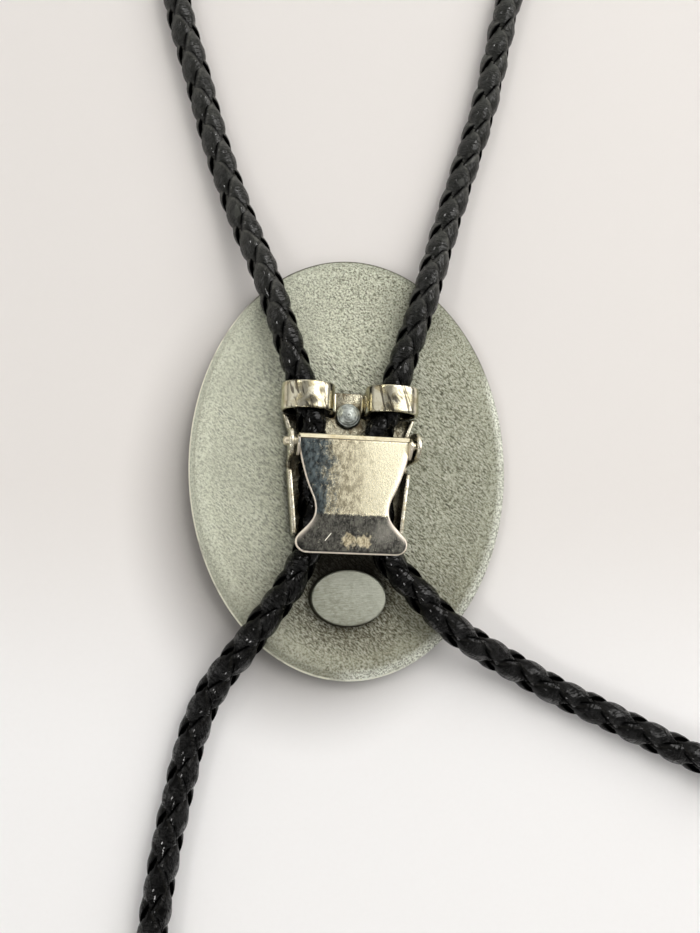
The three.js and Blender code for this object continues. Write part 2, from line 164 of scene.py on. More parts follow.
def finish_mesh(name, mesh, sharp_angle):
    """An object from a mesh, smooth but for the edges that bend by the sharp angle or more."""
    work = bmesh.new()
    work.from_mesh(mesh)
    bmesh.ops.recalc_face_normals(work, faces=work.faces)
    limit = math.radians(sharp_angle)
    for face in work.faces:
        face.smooth = True
    for edge in work.edges:
        edge.smooth = len(edge.link_faces) != 2 or edge.calc_face_angle() < limit
    work.to_mesh(mesh)
    work.free()
    return linked(name, mesh)


def loft(rings):
    """Vertices and faces of a closed body through rings of as many points each."""
    count = len(rings[0])
    verts = [tuple(p) for ring in rings for p in ring]
    faces = []
    for row in range(len(rings) - 1):
        low, high = row * count, (row + 1) * count
        for k in range(count):
            after = (k + 1) % count
            faces.append((low + k, low + after, high + after, high + k))
    faces.append(tuple(range(count - 1, -1, -1)))
    faces.append(tuple(range(len(verts) - count, len(verts))))
    return verts, faces


# Cord

STRAND_WIDTH = 0.0036
STRAND_THICKNESS = 0.00084
STRAND_CROWN = 0.00008
STRAND_SIDES = 20
BRAID_RADIUS = 0.00138  # to the middle of a strand
BRAID_WAVE = 0.00037  # a strand's rise over another, and its dip under it
BRAID_SNAP = 0.9  # how sharply it goes from one to the other
BRAID_SWING = 0.62  # how much straighter it runs on top, in radians
BRAID_STEP = 0.0004
PATH_STEPS = 4
CURVE_STEPS = 24

HELD = 0.0058  # height of the cord's middle in the slide
LAID = 0.00215  # and on the floor
NECK_LOOP_ROUTE = [
    (-0.00581, 0.00015, HELD), (-0.00585, 0.0036, HELD), (-0.00625, 0.0063, HELD),
    (-0.0070, 0.0092, HELD), (-0.0078, 0.0120, HELD), (-0.0120, 0.0247, 0.0057),
    (-0.0131, 0.0279, 0.0053), (-0.0144, 0.0314, 0.0044), (-0.0162, 0.0360, 0.0032),
    (-0.0184, 0.0420, 0.0024), (-0.0212, 0.0503, LAID), (-0.0244, 0.0617, LAID),
    (-0.0276, 0.0733, LAID), (-0.0289, 0.0870, LAID), (-0.0286, 0.1035, LAID),
    (-0.0272, 0.1210, LAID), (-0.0233, 0.1380, LAID), (-0.0157, 0.1522, LAID),
    (-0.0044, 0.1619, LAID), (0.0098, 0.1666, LAID), (0.0246, 0.1651, LAID),
    (0.0372, 0.1577, LAID), (0.0448, 0.1460, LAID), (0.0463, 0.1320, LAID),
    (0.0428, 0.1183, LAID), (0.0369, 0.1055, LAID), (0.0309, 0.0922, LAID),
    (0.0263, 0.0784, LAID), (0.0218, 0.0594, LAID), (0.0180, 0.0473, 0.0022),
    (0.0152, 0.0386, 0.0029), (0.0132, 0.0324, 0.0042), (0.0119, 0.0283, 0.0053),
    (0.0108, 0.0247, 0.0057), (0.0068, 0.0130, HELD), (0.0056, 0.0091, HELD),
    (0.0046, 0.0062, HELD), (0.0038, 0.0034, HELD), (0.00399, -0.00007, HELD),
]
LEFT_END_ROUTE = [
    (-0.00582, -0.00015, HELD), (-0.0058, -0.0050, HELD), (-0.00575, -0.0103, HELD),
    (-0.0062, -0.0122, HELD), (-0.0073, -0.0149, HELD), (-0.0090, -0.0182, HELD),
    (-0.0123, -0.0228, HELD), (-0.0140, -0.0252, 0.00565), (-0.0161, -0.0280, 0.0048),
    (-0.0184, -0.0310, 0.0037), (-0.0206, -0.0349, 0.0026), (-0.0224, -0.0402, LAID),
    (-0.0238, -0.0466, LAID), (-0.0251, -0.0530, LAID), (-0.0261, -0.0595, 0.0023),
    (-0.0270, -0.0670, 0.00285),
]
RIGHT_END_ROUTE = [
    (0.0040, -0.00037, HELD), (0.0040, -0.0050, HELD), (0.00395, -0.0106, HELD),
    (0.0044, -0.0124, HELD), (0.0058, -0.0149, HELD), (0.0089, -0.0183, HELD),
    (0.0132, -0.0227, HELD), (0.0155, -0.0246, 0.0055), (0.0182, -0.0263, 0.0048),
    (0.0213, -0.0280, 0.0037), (0.0252, -0.0300, 0.0026), (0.0311, -0.0332, LAID),
    (0.0378, -0.0363, LAID), (0.0446, -0.0395, LAID), (0.0505, -0.0422, 0.0023),
    (0.0556, -0.0444, 0.00285),
]


def between(first, second, start, end, t):
    return ((end - t) * first + (t - start) * second) / (end - start)


def smooth_line(points, step):
    """Evenly spaced points on the centripetal Catmull-Rom curve through the given points."""
    points = [Vector(p) for p in points]
    points = [2 * points[0] - points[1], *points, 2 * points[-1] - points[-2]]
    dense = []
    for p0, p1, p2, p3 in zip(points, points[1:], points[2:], points[3:]):
        t1 = math.sqrt((p1 - p0).length)
        t2 = t1 + math.sqrt((p2 - p1).length)
        t3 = t2 + math.sqrt((p3 - p2).length)
        for t in np.linspace(t1, t2, CURVE_STEPS, endpoint=False):
            a1 = between(p0, p1, 0, t1, t)
            a2 = between(p1, p2, t1, t2, t)
            a3 = between(p2, p3, t2, t3, t)
            dense.append(between(between(a1, a2, 0, t2, t), between(a2, a3, t1, t3, t), t1, t2, t))
    dense.append(points[-2])
    dense = np.array([tuple(p) for p in dense])
    along = np.concatenate(([0], np.cumsum(np.linalg.norm(np.diff(dense, axis=0), axis=1))))
    even = np.linspace(0, along[-1], max(2, round(along[-1] / step) + 1))
    return even, along_cord(even, along, dense)


def along_cord(spot, along, values):
    """The values, such as points, that belong to places along a cord."""
    return np.stack([np.interp(spot, along, values[:, axis]) for axis in range(3)], axis=-1)


def cord_frames(line):
    """The directions up and to the side, along a cord that stays nearly level."""
    tangent = np.gradient(line, axis=0)
    tangent /= np.linalg.norm(tangent, axis=1)[:, None]
    up = np.array([0, 0, 1.0]) - tangent[:, 2:3] * tangent
    up /= np.linalg.norm(up, axis=1)[:, None]
    return up, np.cross(tangent, up)


def strand_section():
    """A flat strand's section as distances across it and outwards, with a crown on its outer side."""
    phi = np.linspace(0, 2 * math.pi, STRAND_SIDES, endpoint=False)
    across = STRAND_WIDTH / 2 * np.sign(np.cos(phi)) * np.abs(np.cos(phi)) ** 0.55
    rise = STRAND_THICKNESS / 2 * np.sign(np.sin(phi)) * np.abs(np.sin(phi)) ** 0.5
    rise += STRAND_CROWN * (1 - (2 * across / STRAND_WIDTH) ** 2) * (np.sin(phi) > -0.01)
    return across, rise


def scattered(number, hand):
    """A share between 0 and 1 for each leaf, without order."""
    return np.modf(np.abs(np.sin(number * 12.9898 + hand * 4.1) * 43758.5453))[0]


def pairs(first, second):
    return np.stack(np.broadcast_arrays(first, second), axis=-1).reshape(-1, 2)


def braid(name, route, pitch, twist, mirrored):
    """A braid of four flat strands, two to each hand. A strand goes over and under another once in every
    pitch, and it runs nearly straight where it shows and turns where it is under.
    Twist lists (share of the length, degrees). Up to the share mirrored, places within a leaf run backwards.
    The map Strip holds places on a strand in millimetres, and Leaf places within a leaf and its tint."""
    along, line = smooth_line(route, BRAID_STEP)
    up, side = cord_frames(line)
    length = along[-1]
    rate = math.pi / pitch
    slope = BRAID_RADIUS * rate
    sin_lean = slope / math.hypot(1, slope)
    cos_lean = 1 / math.hypot(1, slope)
    shares, degrees = zip(*twist)
    across, rise = strand_section()
    verts, faces, strips, leaves = [], [], [], []
    for hand in (1, -1):
        leaf = along / pitch + (0 if hand > 0 else 0.5)
        number = np.floor(leaf + 0.5)
        within = leaf - number
        within = np.where(along / length < mirrored, -within, within)
        tint = scattered(number, hand)
        swing = BRAID_SWING / 2 * np.sin(2 * rate * along)
        over = np.tanh(BRAID_SNAP * np.cos(2 * rate * along)) / math.tanh(BRAID_SNAP)
        height = BRAID_RADIUS + hand * BRAID_WAVE * over
        spot = np.clip(along[:, None] - across[None, :] * hand * sin_lean, 0, length)
        roll = np.radians(np.interp(spot / length, shares, degrees))
        radius = height[:, None] + rise[None, :]
        for which in (0, 1):
            centre = hand * rate * along - swing + which * math.pi
            angle = centre[:, None] + across[None, :] * cos_lean / BRAID_RADIUS
            points = along_cord(spot, along, line)
            points = points + (radius * np.cos(angle + roll))[..., None] * along_cord(spot, along, up)
            points = points + (radius * np.sin(angle + roll))[..., None] * along_cord(spot, along, side)
            first = len(verts)
            ring_verts, ring_faces = loft(points)
            verts.extend(ring_verts)
            faces.extend(tuple(first + v for v in face) for face in ring_faces)
            v = 20 * tint + 100 * (hand * which + 2) + within * pitch / MM
            strips.extend(pairs(across[None, :] / MM, v[:, None]))
            leaves.extend(pairs(within[:, None], np.broadcast_to(tint[:, None], spot.shape)))
    piece = mesh_object(name, verts, faces, sharp_angle=70, maps={"Strip": strips, "Leaf": leaves})
    return piece, length, [tuple(p) for p in line[::PATH_STEPS]] + [tuple(line[-1])]


# Shapes

EDGE_STEPS = 3
CORNER_STEPS = 4


def rounded_slab(outline, low, high, radius):
    """A flat plate over a counterclockwise outline of (u, v), from low to high, with rounded edges."""
    outline = np.asarray(outline, dtype=float)
    ahead = np.roll(outline, -1, axis=0) - outline
    ahead /= np.linalg.norm(ahead, axis=1)[:, None]
    behind = np.roll(ahead, 1, axis=0)
    inward = np.stack([-(ahead + behind)[:, 1], (ahead + behind)[:, 0]], axis=1)
    length = np.linalg.norm(inward, axis=1)[:, None]
    inward /= length
    inward /= np.maximum(0.45, length / 2)
    rings = []
    quarter = np.linspace(0, math.pi / 2, EDGE_STEPS + 1)
    for t in quarter:
        rings.append((radius * (1 - math.sin(t)), low + radius * (1 - math.cos(t))))
    for t in quarter[::-1]:
        rings.append((radius * (1 - math.sin(t)), high - radius * (1 - math.cos(t))))
    points = []
    for inset, height in rings:
        flat = outline + inward * inset
        points.append(np.column_stack([flat, np.full(len(flat), height)]))
    return loft(points)


def edge_profile(distance, thickness, radius):
    """Half the thickness of a sheet at a distance from its rounded edge."""
    near = np.clip(1 - np.asarray(distance) / radius, 0, 1)
    return thickness / 2 - radius + radius * np.sqrt(1 - near**2)


def sheet(points, distance, thickness, radius):
    """A bent sheet round a grid of middle points, thinner towards its rounded edges."""
    points = np.asarray(points, dtype=float)
    rows, cols = points.shape[:2]
    normal = np.cross(np.gradient(points, axis=0), np.gradient(points, axis=1))
    normal /= np.linalg.norm(normal, axis=2)[..., None]
    half = edge_profile(distance, thickness, radius)[..., None] * normal
    verts = np.concatenate([(points + half).reshape(-1, 3), (points - half).reshape(-1, 3)])
    back = rows * cols
    faces = []
    for row in range(rows - 1):
        for col in range(cols - 1):
            a, b = row * cols + col, row * cols + col + 1
            c, d = b + cols, a + cols
            faces.append((a, b, c, d))
            faces.append((back + d, back + c, back + b, back + a))
    border = list(range(cols))
    border += [row * cols + cols - 1 for row in range(1, rows)]
    border += [(rows - 1) * cols + k for k in range(cols - 2, -1, -1)]
    border += [row * cols for row in range(rows - 2, 0, -1)]
    for a, b in zip(border, border[1:] + border[:1]):
        faces.append((a, back + a, back + b, b))
    return verts, faces


def turned(profile, sides):
    """Vertices and faces of a body turned round z, from a profile of (radius, height) that starts and ends
    on the axis."""
    inner = profile[1:-1]
    verts = [(0, 0, profile[0][1]), (0, 0, profile[-1][1])]
    for radius, height in inner:
        for k in range(sides):
            angle = 2 * math.pi * k / sides
            verts.append((radius * math.cos(angle), radius * math.sin(angle), height))
    faces = []
    last = 2 + (len(inner) - 1) * sides
    for k in range(sides):
        after = (k + 1) % sides
        faces.append((0, 2 + after, 2 + k))
        faces.append((1, last + k, last + after))
        for row in range(len(inner) - 1):
            low = 2 + row * sides
            faces.append((low + k, low + after, low + sides + after, low + sides + k))
    return verts, faces


def round_corners(points, radius):
    """The outline with each corner, listed as (u, v) or (u, v, own radius), turned into an arc."""
    rounded = []
    count = len(points)
    for k, point in enumerate(points):
        here = np.array(point[:2], dtype=float)
        before = np.array(points[k - 1][:2], dtype=float) - here
        after = np.array(points[(k + 1) % count][:2], dtype=float) - here
        size = point[2] if len(point) > 2 else radius
        lengths = np.linalg.norm(before), np.linalg.norm(after)
        before, after = before / lengths[0], after / lengths[1]
        half = math.acos(np.clip(before @ after, -1, 1)) / 2
        cut = min(size / math.tan(half), 0.45 * min(lengths)) if half < 1.5 else 0
        if cut <= 0:
            rounded.append(here)
            continue
        start, end = here + before * cut, here + after * cut
        for step in range(CORNER_STEPS + 1):
            t = step / CORNER_STEPS
            rounded.append((1 - t) ** 2 * start + 2 * t * (1 - t) * here + t**2 * end)
    return rounded


def moved(part, matrix):
    """The part's vertices and faces in another frame."""
    verts, faces = part
    return [matrix @ Vector(v) for v in verts], faces


def fused(name, parts, sharp_angle=40):
    """One closed mesh from overlapping closed bodies, joined in the slide's millimetres."""
    whole = None
    for k, (verts, faces) in enumerate(parts):
        piece = mesh_object(f"{name}_{k}", verts, faces, sharp_angle)
        if whole is None:
            whole = piece
            continue
        union = whole.modifiers.new("union", "BOOLEAN")
        union.operation = "UNION"
        union.solver = "MANIFOLD"
        union.object = piece
        graph = bpy.context.evaluated_depsgraph_get()
        result = bpy.data.meshes.new_from_object(whole.evaluated_get(graph))
        whole.modifiers.clear()
        whole.data = result
        bpy.data.objects.remove(piece)
    mesh = whole.data
    bpy.data.objects.remove(whole)
    mesh.transform(SLIDE)
    return finish_mesh(name, mesh, sharp_angle)


# Medallion

MEDALLION_WIDTH = 0.0476
MEDALLION_LENGTH = 0.0635
OVAL_SIDES = 300
# Millimetres in from the edge and up, from the front's flat middle round the edge to the back's dish
MEDALLION_SECTION = [
    (9, 0), (7.6, 0.03), (6, 0.13), (4.4, 0.3), (3, 0.5), (1.8, 0.72),
    (0.9, 0.98), (0.35, 1.25), (0.06, 1.55), (0, 1.8), (0, 2.25), (0.05, 2.42),
    (0.16, 2.56), (0.38, 2.7), (0.7, 2.88), (1.05, 3.05), (1.45, 3.17), (1.9, 3.22),
    (2.5, 3.2), (3.3, 3.1), (4.4, 2.97), (5.8, 2.85), (7.6, 2.75), (10, 2.7),
]
RIM_CREST_INSET = 1.4
CAST_STEP = 0.0004
CAST_RELIEF = 0.06
DIAGONAL = 0.7071

BOSS_CENTRE = (-0.0003, -0.0198)
BOSS_WIDTH = 0.0109
BOSS_LENGTH = 0.00805
BOSS_SIDES = 128
# Millimetres in from the boss's outline and up, from its root inside the back to its flat face
BOSS_SECTION = [
    (-0.32, 1.9), (-0.3, 2.68), (-0.12, 2.82), (-0.02, 3.1), (0, 3.5), (0, 4.38),
    (0.04, 4.5), (0.13, 4.58), (0.26, 4.6),
]


def oval(width, length, inset, height, sides=OVAL_SIDES):
    """A level ring of points, in by the inset from an oval."""
    angles = np.linspace(0, 2 * math.pi, sides, endpoint=False)
    x = (width / 2 - inset) * np.cos(angles)
    y = (length / 2 - inset) * np.sin(angles)
    return np.column_stack([x, y, np.full(sides, height)])


def cast_skin(x, y):
    """How far the cast surface stands proud at a place, in millimetres: slanting streaks and pebbles."""
    u = (x + y) * DIAGONAL / MM
    v = (x - y) * DIAGONAL / MM
    streaks = noise.noise(Vector((u * 1.5, v * 0.7, 3.0)))
    pebbles = noise.noise(Vector((x / MM * 1.3, y / MM * 1.3, 9.0)))
    return CAST_RELIEF * (0.6 * streaks + 0.4 * pebbles)


def medallion_back():
    """The whole cast oval, with a cast skin on its back."""
    section = np.array(MEDALLION_SECTION) * MM
    rings = []
    front = oval(MEDALLION_WIDTH, MEDALLION_LENGTH, *section[0])
    for share in (0.15, 0.5, 0.8):
        rings.append(front * (share, share, 1))
    on_back = [inset > RIM_CREST_INSET and height > 2 for inset, height in MEDALLION_SECTION]
    top = on_back.index(True)
    for inset, height in section[:top]:
        rings.append(oval(MEDALLION_WIDTH, MEDALLION_LENGTH, inset, height))
    plain = len(rings)
    for inset in np.arange(section[top, 0], section[-1, 0], CAST_STEP):
        height = np.interp(inset, section[top:, 0], section[top:, 1])
        rings.append(oval(MEDALLION_WIDTH, MEDALLION_LENGTH, inset, height))
    middle = oval(MEDALLION_WIDTH, MEDALLION_LENGTH, *section[-1])
    for share in np.linspace(0.97, 0.03, 34):
        rings.append(middle * (share, share, 1))
    for ring in rings[plain:]:
        for point in ring:
            point[2] += cast_skin(point[0], point[1]) * MM
    return mesh_object("medallion_back", *loft(rings), sharp_angle=60)


def medallion_boss():
    """The raised oval on the back, left bare."""
    rings = []
    for inset, height in BOSS_SECTION:
        rings.append(oval(BOSS_WIDTH, BOSS_LENGTH, inset * MM, height * MM, BOSS_SIDES))
    for share in (0.7, 0.35, 0.05):
        ring = oval(BOSS_WIDTH, BOSS_LENGTH, 0.3 * MM, BOSS_SECTION[-1][1] * MM, BOSS_SIDES)
        rings.append(ring * (share, share, 1))
    shift = np.array([*BOSS_CENTRE, 0])
    return mesh_object("medallion_boss", *loft([ring + shift for ring in rings]), sharp_angle=50)


# Slide base, in millimetres from the rivet's axis at the underside of its plate

SLIDE_PLACE = Vector((-0.00045, 0.00703, 0.00295))
SLIDE_TURN = math.radians(-1.3)
SLIDE = Matrix.Translation(SLIDE_PLACE) @ Matrix.Rotation(SLIDE_TURN, 4, "Z") @ Matrix.Scale(MM, 4)

PLATE = 0.7
WALL = 0.66
FOOT = 0.1  # walls start this far up, inside the plate
TAB_HALF = 2.05
TAB_TOP = 3.6
CHEEK_HALF = 9.9
CHEEK_TOP = -0.2
CHEEK_HEIGHT = 2.6
CHEEK_OVERLAP = 0.6
CHANNEL_HALF = 8.95
MOUTH_HALF = 7.95
CHANNEL_END = -18.2
WALL_START = -8.8
WALL_HEIGHT = 4.5
WALL_RAMP = 0.9
NOTCH_OVERLAP = 0.5
NOTCH_HEIGHT = 1.5
HINGE_Y = -5.15
HINGE_Z = 6.55
EAR_HALF = 2.15
EAR_TOP = 7.85
EAR_LEANS = {-1: 0.08, 1: 1.0}  # how far each ear leans out at its top

RING_SHEET = 0.68
RING_Y = (0.0, 4.1)
RING_START = 1.2
RING_FILLET = 0.8
RING_MIDDLE = 6.25
RING_HALF = 3.6
RING_SHOULDER = 2.9
RING_RISE = 2.75
RING_SQUARENESS = 0.86  # 1 makes its top an ellipse, less makes it squarer
RING_CORNER = 2.3
RING_TAIL = (6.4, 5.2, 4.2, 3.8, 3.6)


def side_plate(outline, x_at_origin, x_per_y=0.0, x_per_z=0.0, thickness=WALL, radius=0.2):
    """An upright plate over an outline of (y, z), its middle at x_at_origin where y and z are 0."""
    verts, faces = rounded_slab(outline, -thickness / 2, thickness / 2, radius)
    return [(x_at_origin + w + x_per_y * y + x_per_z * z, y, z) for y, z, w in verts], faces


def slide_base():
    """Plate, low cheeks beside the rings, hinge ears, channel walls and the low walls between them."""
    ear_start = HINGE_Y + EAR_HALF
    right = [
        (TAB_HALF, TAB_TOP, 0.3), (TAB_HALF, CHEEK_TOP, 0.3), (CHEEK_HALF, CHEEK_TOP, 0.5),
        (CHANNEL_HALF, ear_start, 1), (CHANNEL_HALF, WALL_START, 1), (MOUTH_HALF, CHANNEL_END, 0.4),
    ]
    left = [(-x, y, r) for x, y, r in right][::-1]
    outline = round_corners([*left, *right][::-1], 0.3)
    parts = [rounded_slab(outline, 0.0, PLATE, 0.2)]
    half = WALL / 2
    flare = (CHEEK_HALF - CHANNEL_HALF) / (CHEEK_TOP - ear_start)
    taper = (CHANNEL_HALF - MOUTH_HALF) / (WALL_START - CHANNEL_END)
    for side in (-1, 1):
        cheek = [
            (ear_start - CHEEK_OVERLAP, FOOT), (CHEEK_TOP, FOOT),
            (CHEEK_TOP, CHEEK_HEIGHT, 0.7), (ear_start - CHEEK_OVERLAP, CHEEK_HEIGHT),
        ]
        middle = side * (CHANNEL_HALF - flare * ear_start - half)
        parts.append(side_plate(round_corners(cheek, 0.25), middle, side * flare))
        arch = [(HINGE_Y - EAR_HALF, FOOT), (HINGE_Y + EAR_HALF, FOOT)]
        crown = EAR_TOP - EAR_HALF
        for t in np.linspace(0, math.pi, 25):
            arch.append((HINGE_Y + EAR_HALF * math.cos(t), crown + EAR_HALF * math.sin(t)))
        lean = side * EAR_LEANS[side] / EAR_TOP
        parts.append(side_plate(arch, side * (CHANNEL_HALF - half), 0, lean))
        wall = [
            (CHANNEL_END, FOOT), (WALL_START + WALL_RAMP, FOOT),
            (WALL_START, WALL_HEIGHT, 0.5), (CHANNEL_END, WALL_HEIGHT, 0.8),
        ]
        middle = side * (CHANNEL_HALF - taper * WALL_START - half)
        parts.append(side_plate(round_corners(wall, 0.3), middle, side * taper))
    low, high = WALL_START - NOTCH_OVERLAP, ear_start - NOTCH_OVERLAP
    low_wall = round_corners([(low, FOOT), (high, FOOT), (high, NOTCH_HEIGHT), (low, NOTCH_HEIGHT)], 0.2)
    for side in (-1, 1):
        parts.append(side_plate(low_wall, side * (CHANNEL_HALF - half)))
    return fused("slide_base", parts)


def arc(centre, radius, start, end, steps):
    """Points on an arc between two angles in degrees."""
    angles = np.radians(np.linspace(start, end, steps + 1))
    return [(centre[0] + radius * math.cos(a), centre[1] + radius * math.sin(a)) for a in angles]


def cord_ring(name, side):
    """A strip that curls up from the tab, over the cord and under it again."""
    flat = PLATE / 2
    path = [(RING_START, flat)]
    path += arc((RING_MIDDLE - RING_HALF - RING_FILLET, flat + RING_FILLET), RING_FILLET, -90, 0, 8)
    for t in np.linspace(math.pi, 0, 33):
        rise = RING_RISE * math.sin(t) ** RING_SQUARENESS
        path.append((RING_MIDDLE + RING_HALF * math.cos(t), RING_SHOULDER + rise))
    path += arc((RING_MIDDLE + RING_HALF - RING_CORNER, flat + RING_CORNER), RING_CORNER, 0, -90, 14)
    path += [(x, flat) for x in RING_TAIL]
    path = np.array(path)
    near_edge = np.array([0, 0.05, 0.12, 0.22])
    low, high = RING_Y
    grid = np.zeros((len(path), 18, 3))
    distance = np.zeros(grid.shape[:2])
    for row, (x, z) in enumerate(path):
        top = np.interp(z, [0.4, RING_SHOULDER], [TAB_TOP - 0.1, high])
        ys = np.concatenate([low + near_edge, np.linspace(low + 0.5, top - 0.5, 10), top - near_edge[::-1]])
        grid[row, :, 0] = side * x
        grid[row, :, 1] = ys
        grid[row, :, 2] = z
        distance[row] = np.minimum(ys - low, top - ys)
    part = sheet(grid, distance, RING_SHEET, 0.24)
    return mesh_object(name, *moved(part, SLIDE), sharp_angle=45)


# Lever, in the slide's millimetres

LEVER_SHEET = 0.65
LEVER_TOP = 6.2
# Along the lever, half its width and the middle across, as seen from above
LEVER_PLAN = [
    (-3.72, 8.02, 0.5), (-4.5, 8.3, 0.52), (-5.4, 8.17, 0.5), (-6.4, 7.93, 0.48),
    (-7.6, 7.62, 0.46), (-8.9, 7.25, 0.43), (-10.2, 6.82, 0.4), (-11.4, 6.36, 0.37),
    (-12.3, 5.95, 0.36), (-13.0, 5.62, 0.35), (-13.7, 5.4, 0.34), (-14.5, 5.28, 0.34),
    (-15.2, 5.33, 0.33), (-15.9, 5.55, 0.32), (-16.5, 5.92, 0.31), (-17.1, 6.42, 0.3),
    (-17.7, 7.0, 0.29), (-18.3, 7.55, 0.28), (-18.8, 7.88, 0.27), (-19.3, 8.0, 0.26),
    (-19.8, 7.93, 0.25), (-20.2, 7.7, 0.24), (-20.55, 7.35, 0.24), (-20.8, 6.9, 0.23),
    (-20.92, 6.4, 0.23),
]
LEVER_EDGE = 0.31
CREASE_Y = -4.45
CREASE_DROP = 0.08
CREASE_RUN = 0.15
NOSE_SLOPE = 0.46
LIP_BEND_Y = -15.25
LIP_BEND_HALF = 0.35
LIP_RISE = math.radians(11)

LEVER_MIDDLE = 0.42
LUG_SHEET = 0.5
LUG_FACE = 8.36  # from the lever's middle to the lugs' outer faces
LUG_RADIUS = 1.05
PIN_RADIUS = 0.65
PIN_START = 7.95
PIN_REACHES = {-1: 2.35, 1: 1.15}


def lever_height(y):
    """Middle of the lever's sheet: the nose bends down, the flat is level and the lip bends up."""
    middle = LEVER_TOP - LEVER_SHEET / 2
    if y > CREASE_Y:
        past = y - CREASE_Y
        return middle - NOSE_SLOPE * past - CREASE_DROP * min(1.0, past / CREASE_RUN)
    if y < LIP_BEND_Y - LIP_BEND_HALF:
        return middle + (LIP_BEND_Y - y) * math.tan(LIP_RISE)
    if y < LIP_BEND_Y + LIP_BEND_HALF:
        run = LIP_BEND_Y + LIP_BEND_HALF - y
        return middle + math.tan(LIP_RISE) * run**2 / (4 * LIP_BEND_HALF)
    return middle


def lever_rows():
    """Places along the lever, closer together at its ends and bends."""
    start, end = LEVER_PLAN[0][0], LEVER_PLAN[-1][0]
    rows = [start - step for step in (0, 0.05, 0.13, 0.25, 0.45)]
    rows += [CREASE_Y + step for step in (0.12, 0.04, -0.02)]
    rows += list(np.linspace(CREASE_Y - 0.3, LIP_BEND_Y + 0.5, 34))
    rows += list(np.linspace(LIP_BEND_Y + LIP_BEND_HALF, LIP_BEND_Y - LIP_BEND_HALF, 7))
    rows += list(np.linspace(LIP_BEND_Y - 0.6, end + 0.5, 20))
    rows += [end + step for step in (0.35, 0.22, 0.12, 0.05, 0)]
    return rows


def outline_distance(flat):
    """How far each point of a grid of (x, y) lies from the grid's outline."""
    border = np.concatenate([flat[0], flat[1:, -1], flat[-1, ::-1], flat[::-1, 0]])
    run = np.roll(border, -1, axis=0) - border
    squared = np.maximum((run**2).sum(axis=1), 1e-9)
    delta = flat[:, :, None, :] - border
    share = np.clip((delta * run).sum(axis=-1) / squared, 0, 1)
    return np.linalg.norm(delta - share[..., None] * run, axis=-1).min(axis=-1)


def lever_plate():
    """The flat with its nose and lip."""
    plan = np.array(LEVER_PLAN)
    shares = np.linspace(-1, 1, 25)
    inset = np.array([0, 0.04, 0.1, 0.19, LEVER_EDGE])
    points = []
    for y in lever_rows():
        half = np.interp(-y, -plan[:, 0], plan[:, 1])
        middle = np.interp(-y, -plan[:, 0], plan[:, 2])
        xs = np.concatenate([-half + inset, shares[1:-1] * (half - 0.6), half - inset[::-1]])
        points.append([(middle + x, y, lever_height(y)) for x in xs])
    points = np.array(points)
    return sheet(points, outline_distance(points[..., :2]), LEVER_SHEET, LEVER_EDGE)


def lever_lug(side):
    """The tab that stands up from the lever's edge round a pin."""
    outline = [(-7.0, 5.65), (-4.1, 5.65)]
    for t in np.linspace(0, 0.78 * math.pi, 16):
        outline.append((HINGE_Y + LUG_RADIUS * math.cos(t), HINGE_Z + LUG_RADIUS * math.sin(t)))
    outline.append((-6.6, 6.5))
    middle = LEVER_MIDDLE + side * (LUG_FACE - LUG_SHEET / 2)
    return side_plate(outline, middle, thickness=LUG_SHEET, radius=0.18)


def hinge_pin(side):
    """A short pin with a domed and dimpled end."""
    reach = PIN_REACHES[side]
    profile = [
        (0, 0), (PIN_RADIUS - 0.05, 0), (PIN_RADIUS, 0.05), (PIN_RADIUS, reach - 0.42),
        (PIN_RADIUS - 0.05, reach - 0.2), (0.46, reach - 0.07), (0.24, reach),
        (0.12, reach - 0.03), (0, reach - 0.04),
    ]
    turn = Matrix.Rotation(side * math.pi / 2, 4, "Y")
    place = Matrix.Translation((LEVER_MIDDLE + side * PIN_START, HINGE_Y, HINGE_Z))
    return moved(turned(profile, 40), place @ turn)


def lever():
    """The plate, lugs and pins as one body."""
    parts = [lever_plate(), lever_lug(-1), lever_lug(1), hinge_pin(-1), hinge_pin(1)]
    return fused("lever_plate", parts, sharp_angle=35)


# Rivet, in the slide's millimetres: radius and height

RIVET_SECTION = [
    (0, -1.0), (1.0, -1.0), (1.0, 0.85), (1.72, 0.85), (1.83, 0.92), (1.87, 1.02),
    (1.87, 1.22), (1.8, 1.36), (1.66, 1.47), (1.6, 1.49), (1.54, 1.48), (1.47, 1.55),
    (1.34, 1.65), (1.28, 1.66), (1.22, 1.65), (1.14, 1.71), (0.98, 1.79), (0.92, 1.79),
    (0.86, 1.78), (0.76, 1.83), (0.6, 1.88), (0.54, 1.88), (0.48, 1.87), (0.38, 1.9),
    (0.24, 1.92), (0.17, 1.9), (0.1, 1.84), (0, 1.81),
]


def rivet():
    """The rivet, with the rings that a lathe left on its head."""
    return mesh_object("rivet_head", *moved(turned(RIVET_SECTION, 72), SLIDE), sharp_angle=50)


# Cord tips

TIP_GAP = 0.0005
TIP_LENGTH = 0.017
TIP_RADIUS = 0.0026
TIP_END_RADIUS = 0.0015
TIP_COLLAR = 0.004
TIP_NECK_RADIUS = 0.0023
TIP_GROOVE_RADIUS = 0.00248
TIP_GROOVES = (0.0013, 0.0027)


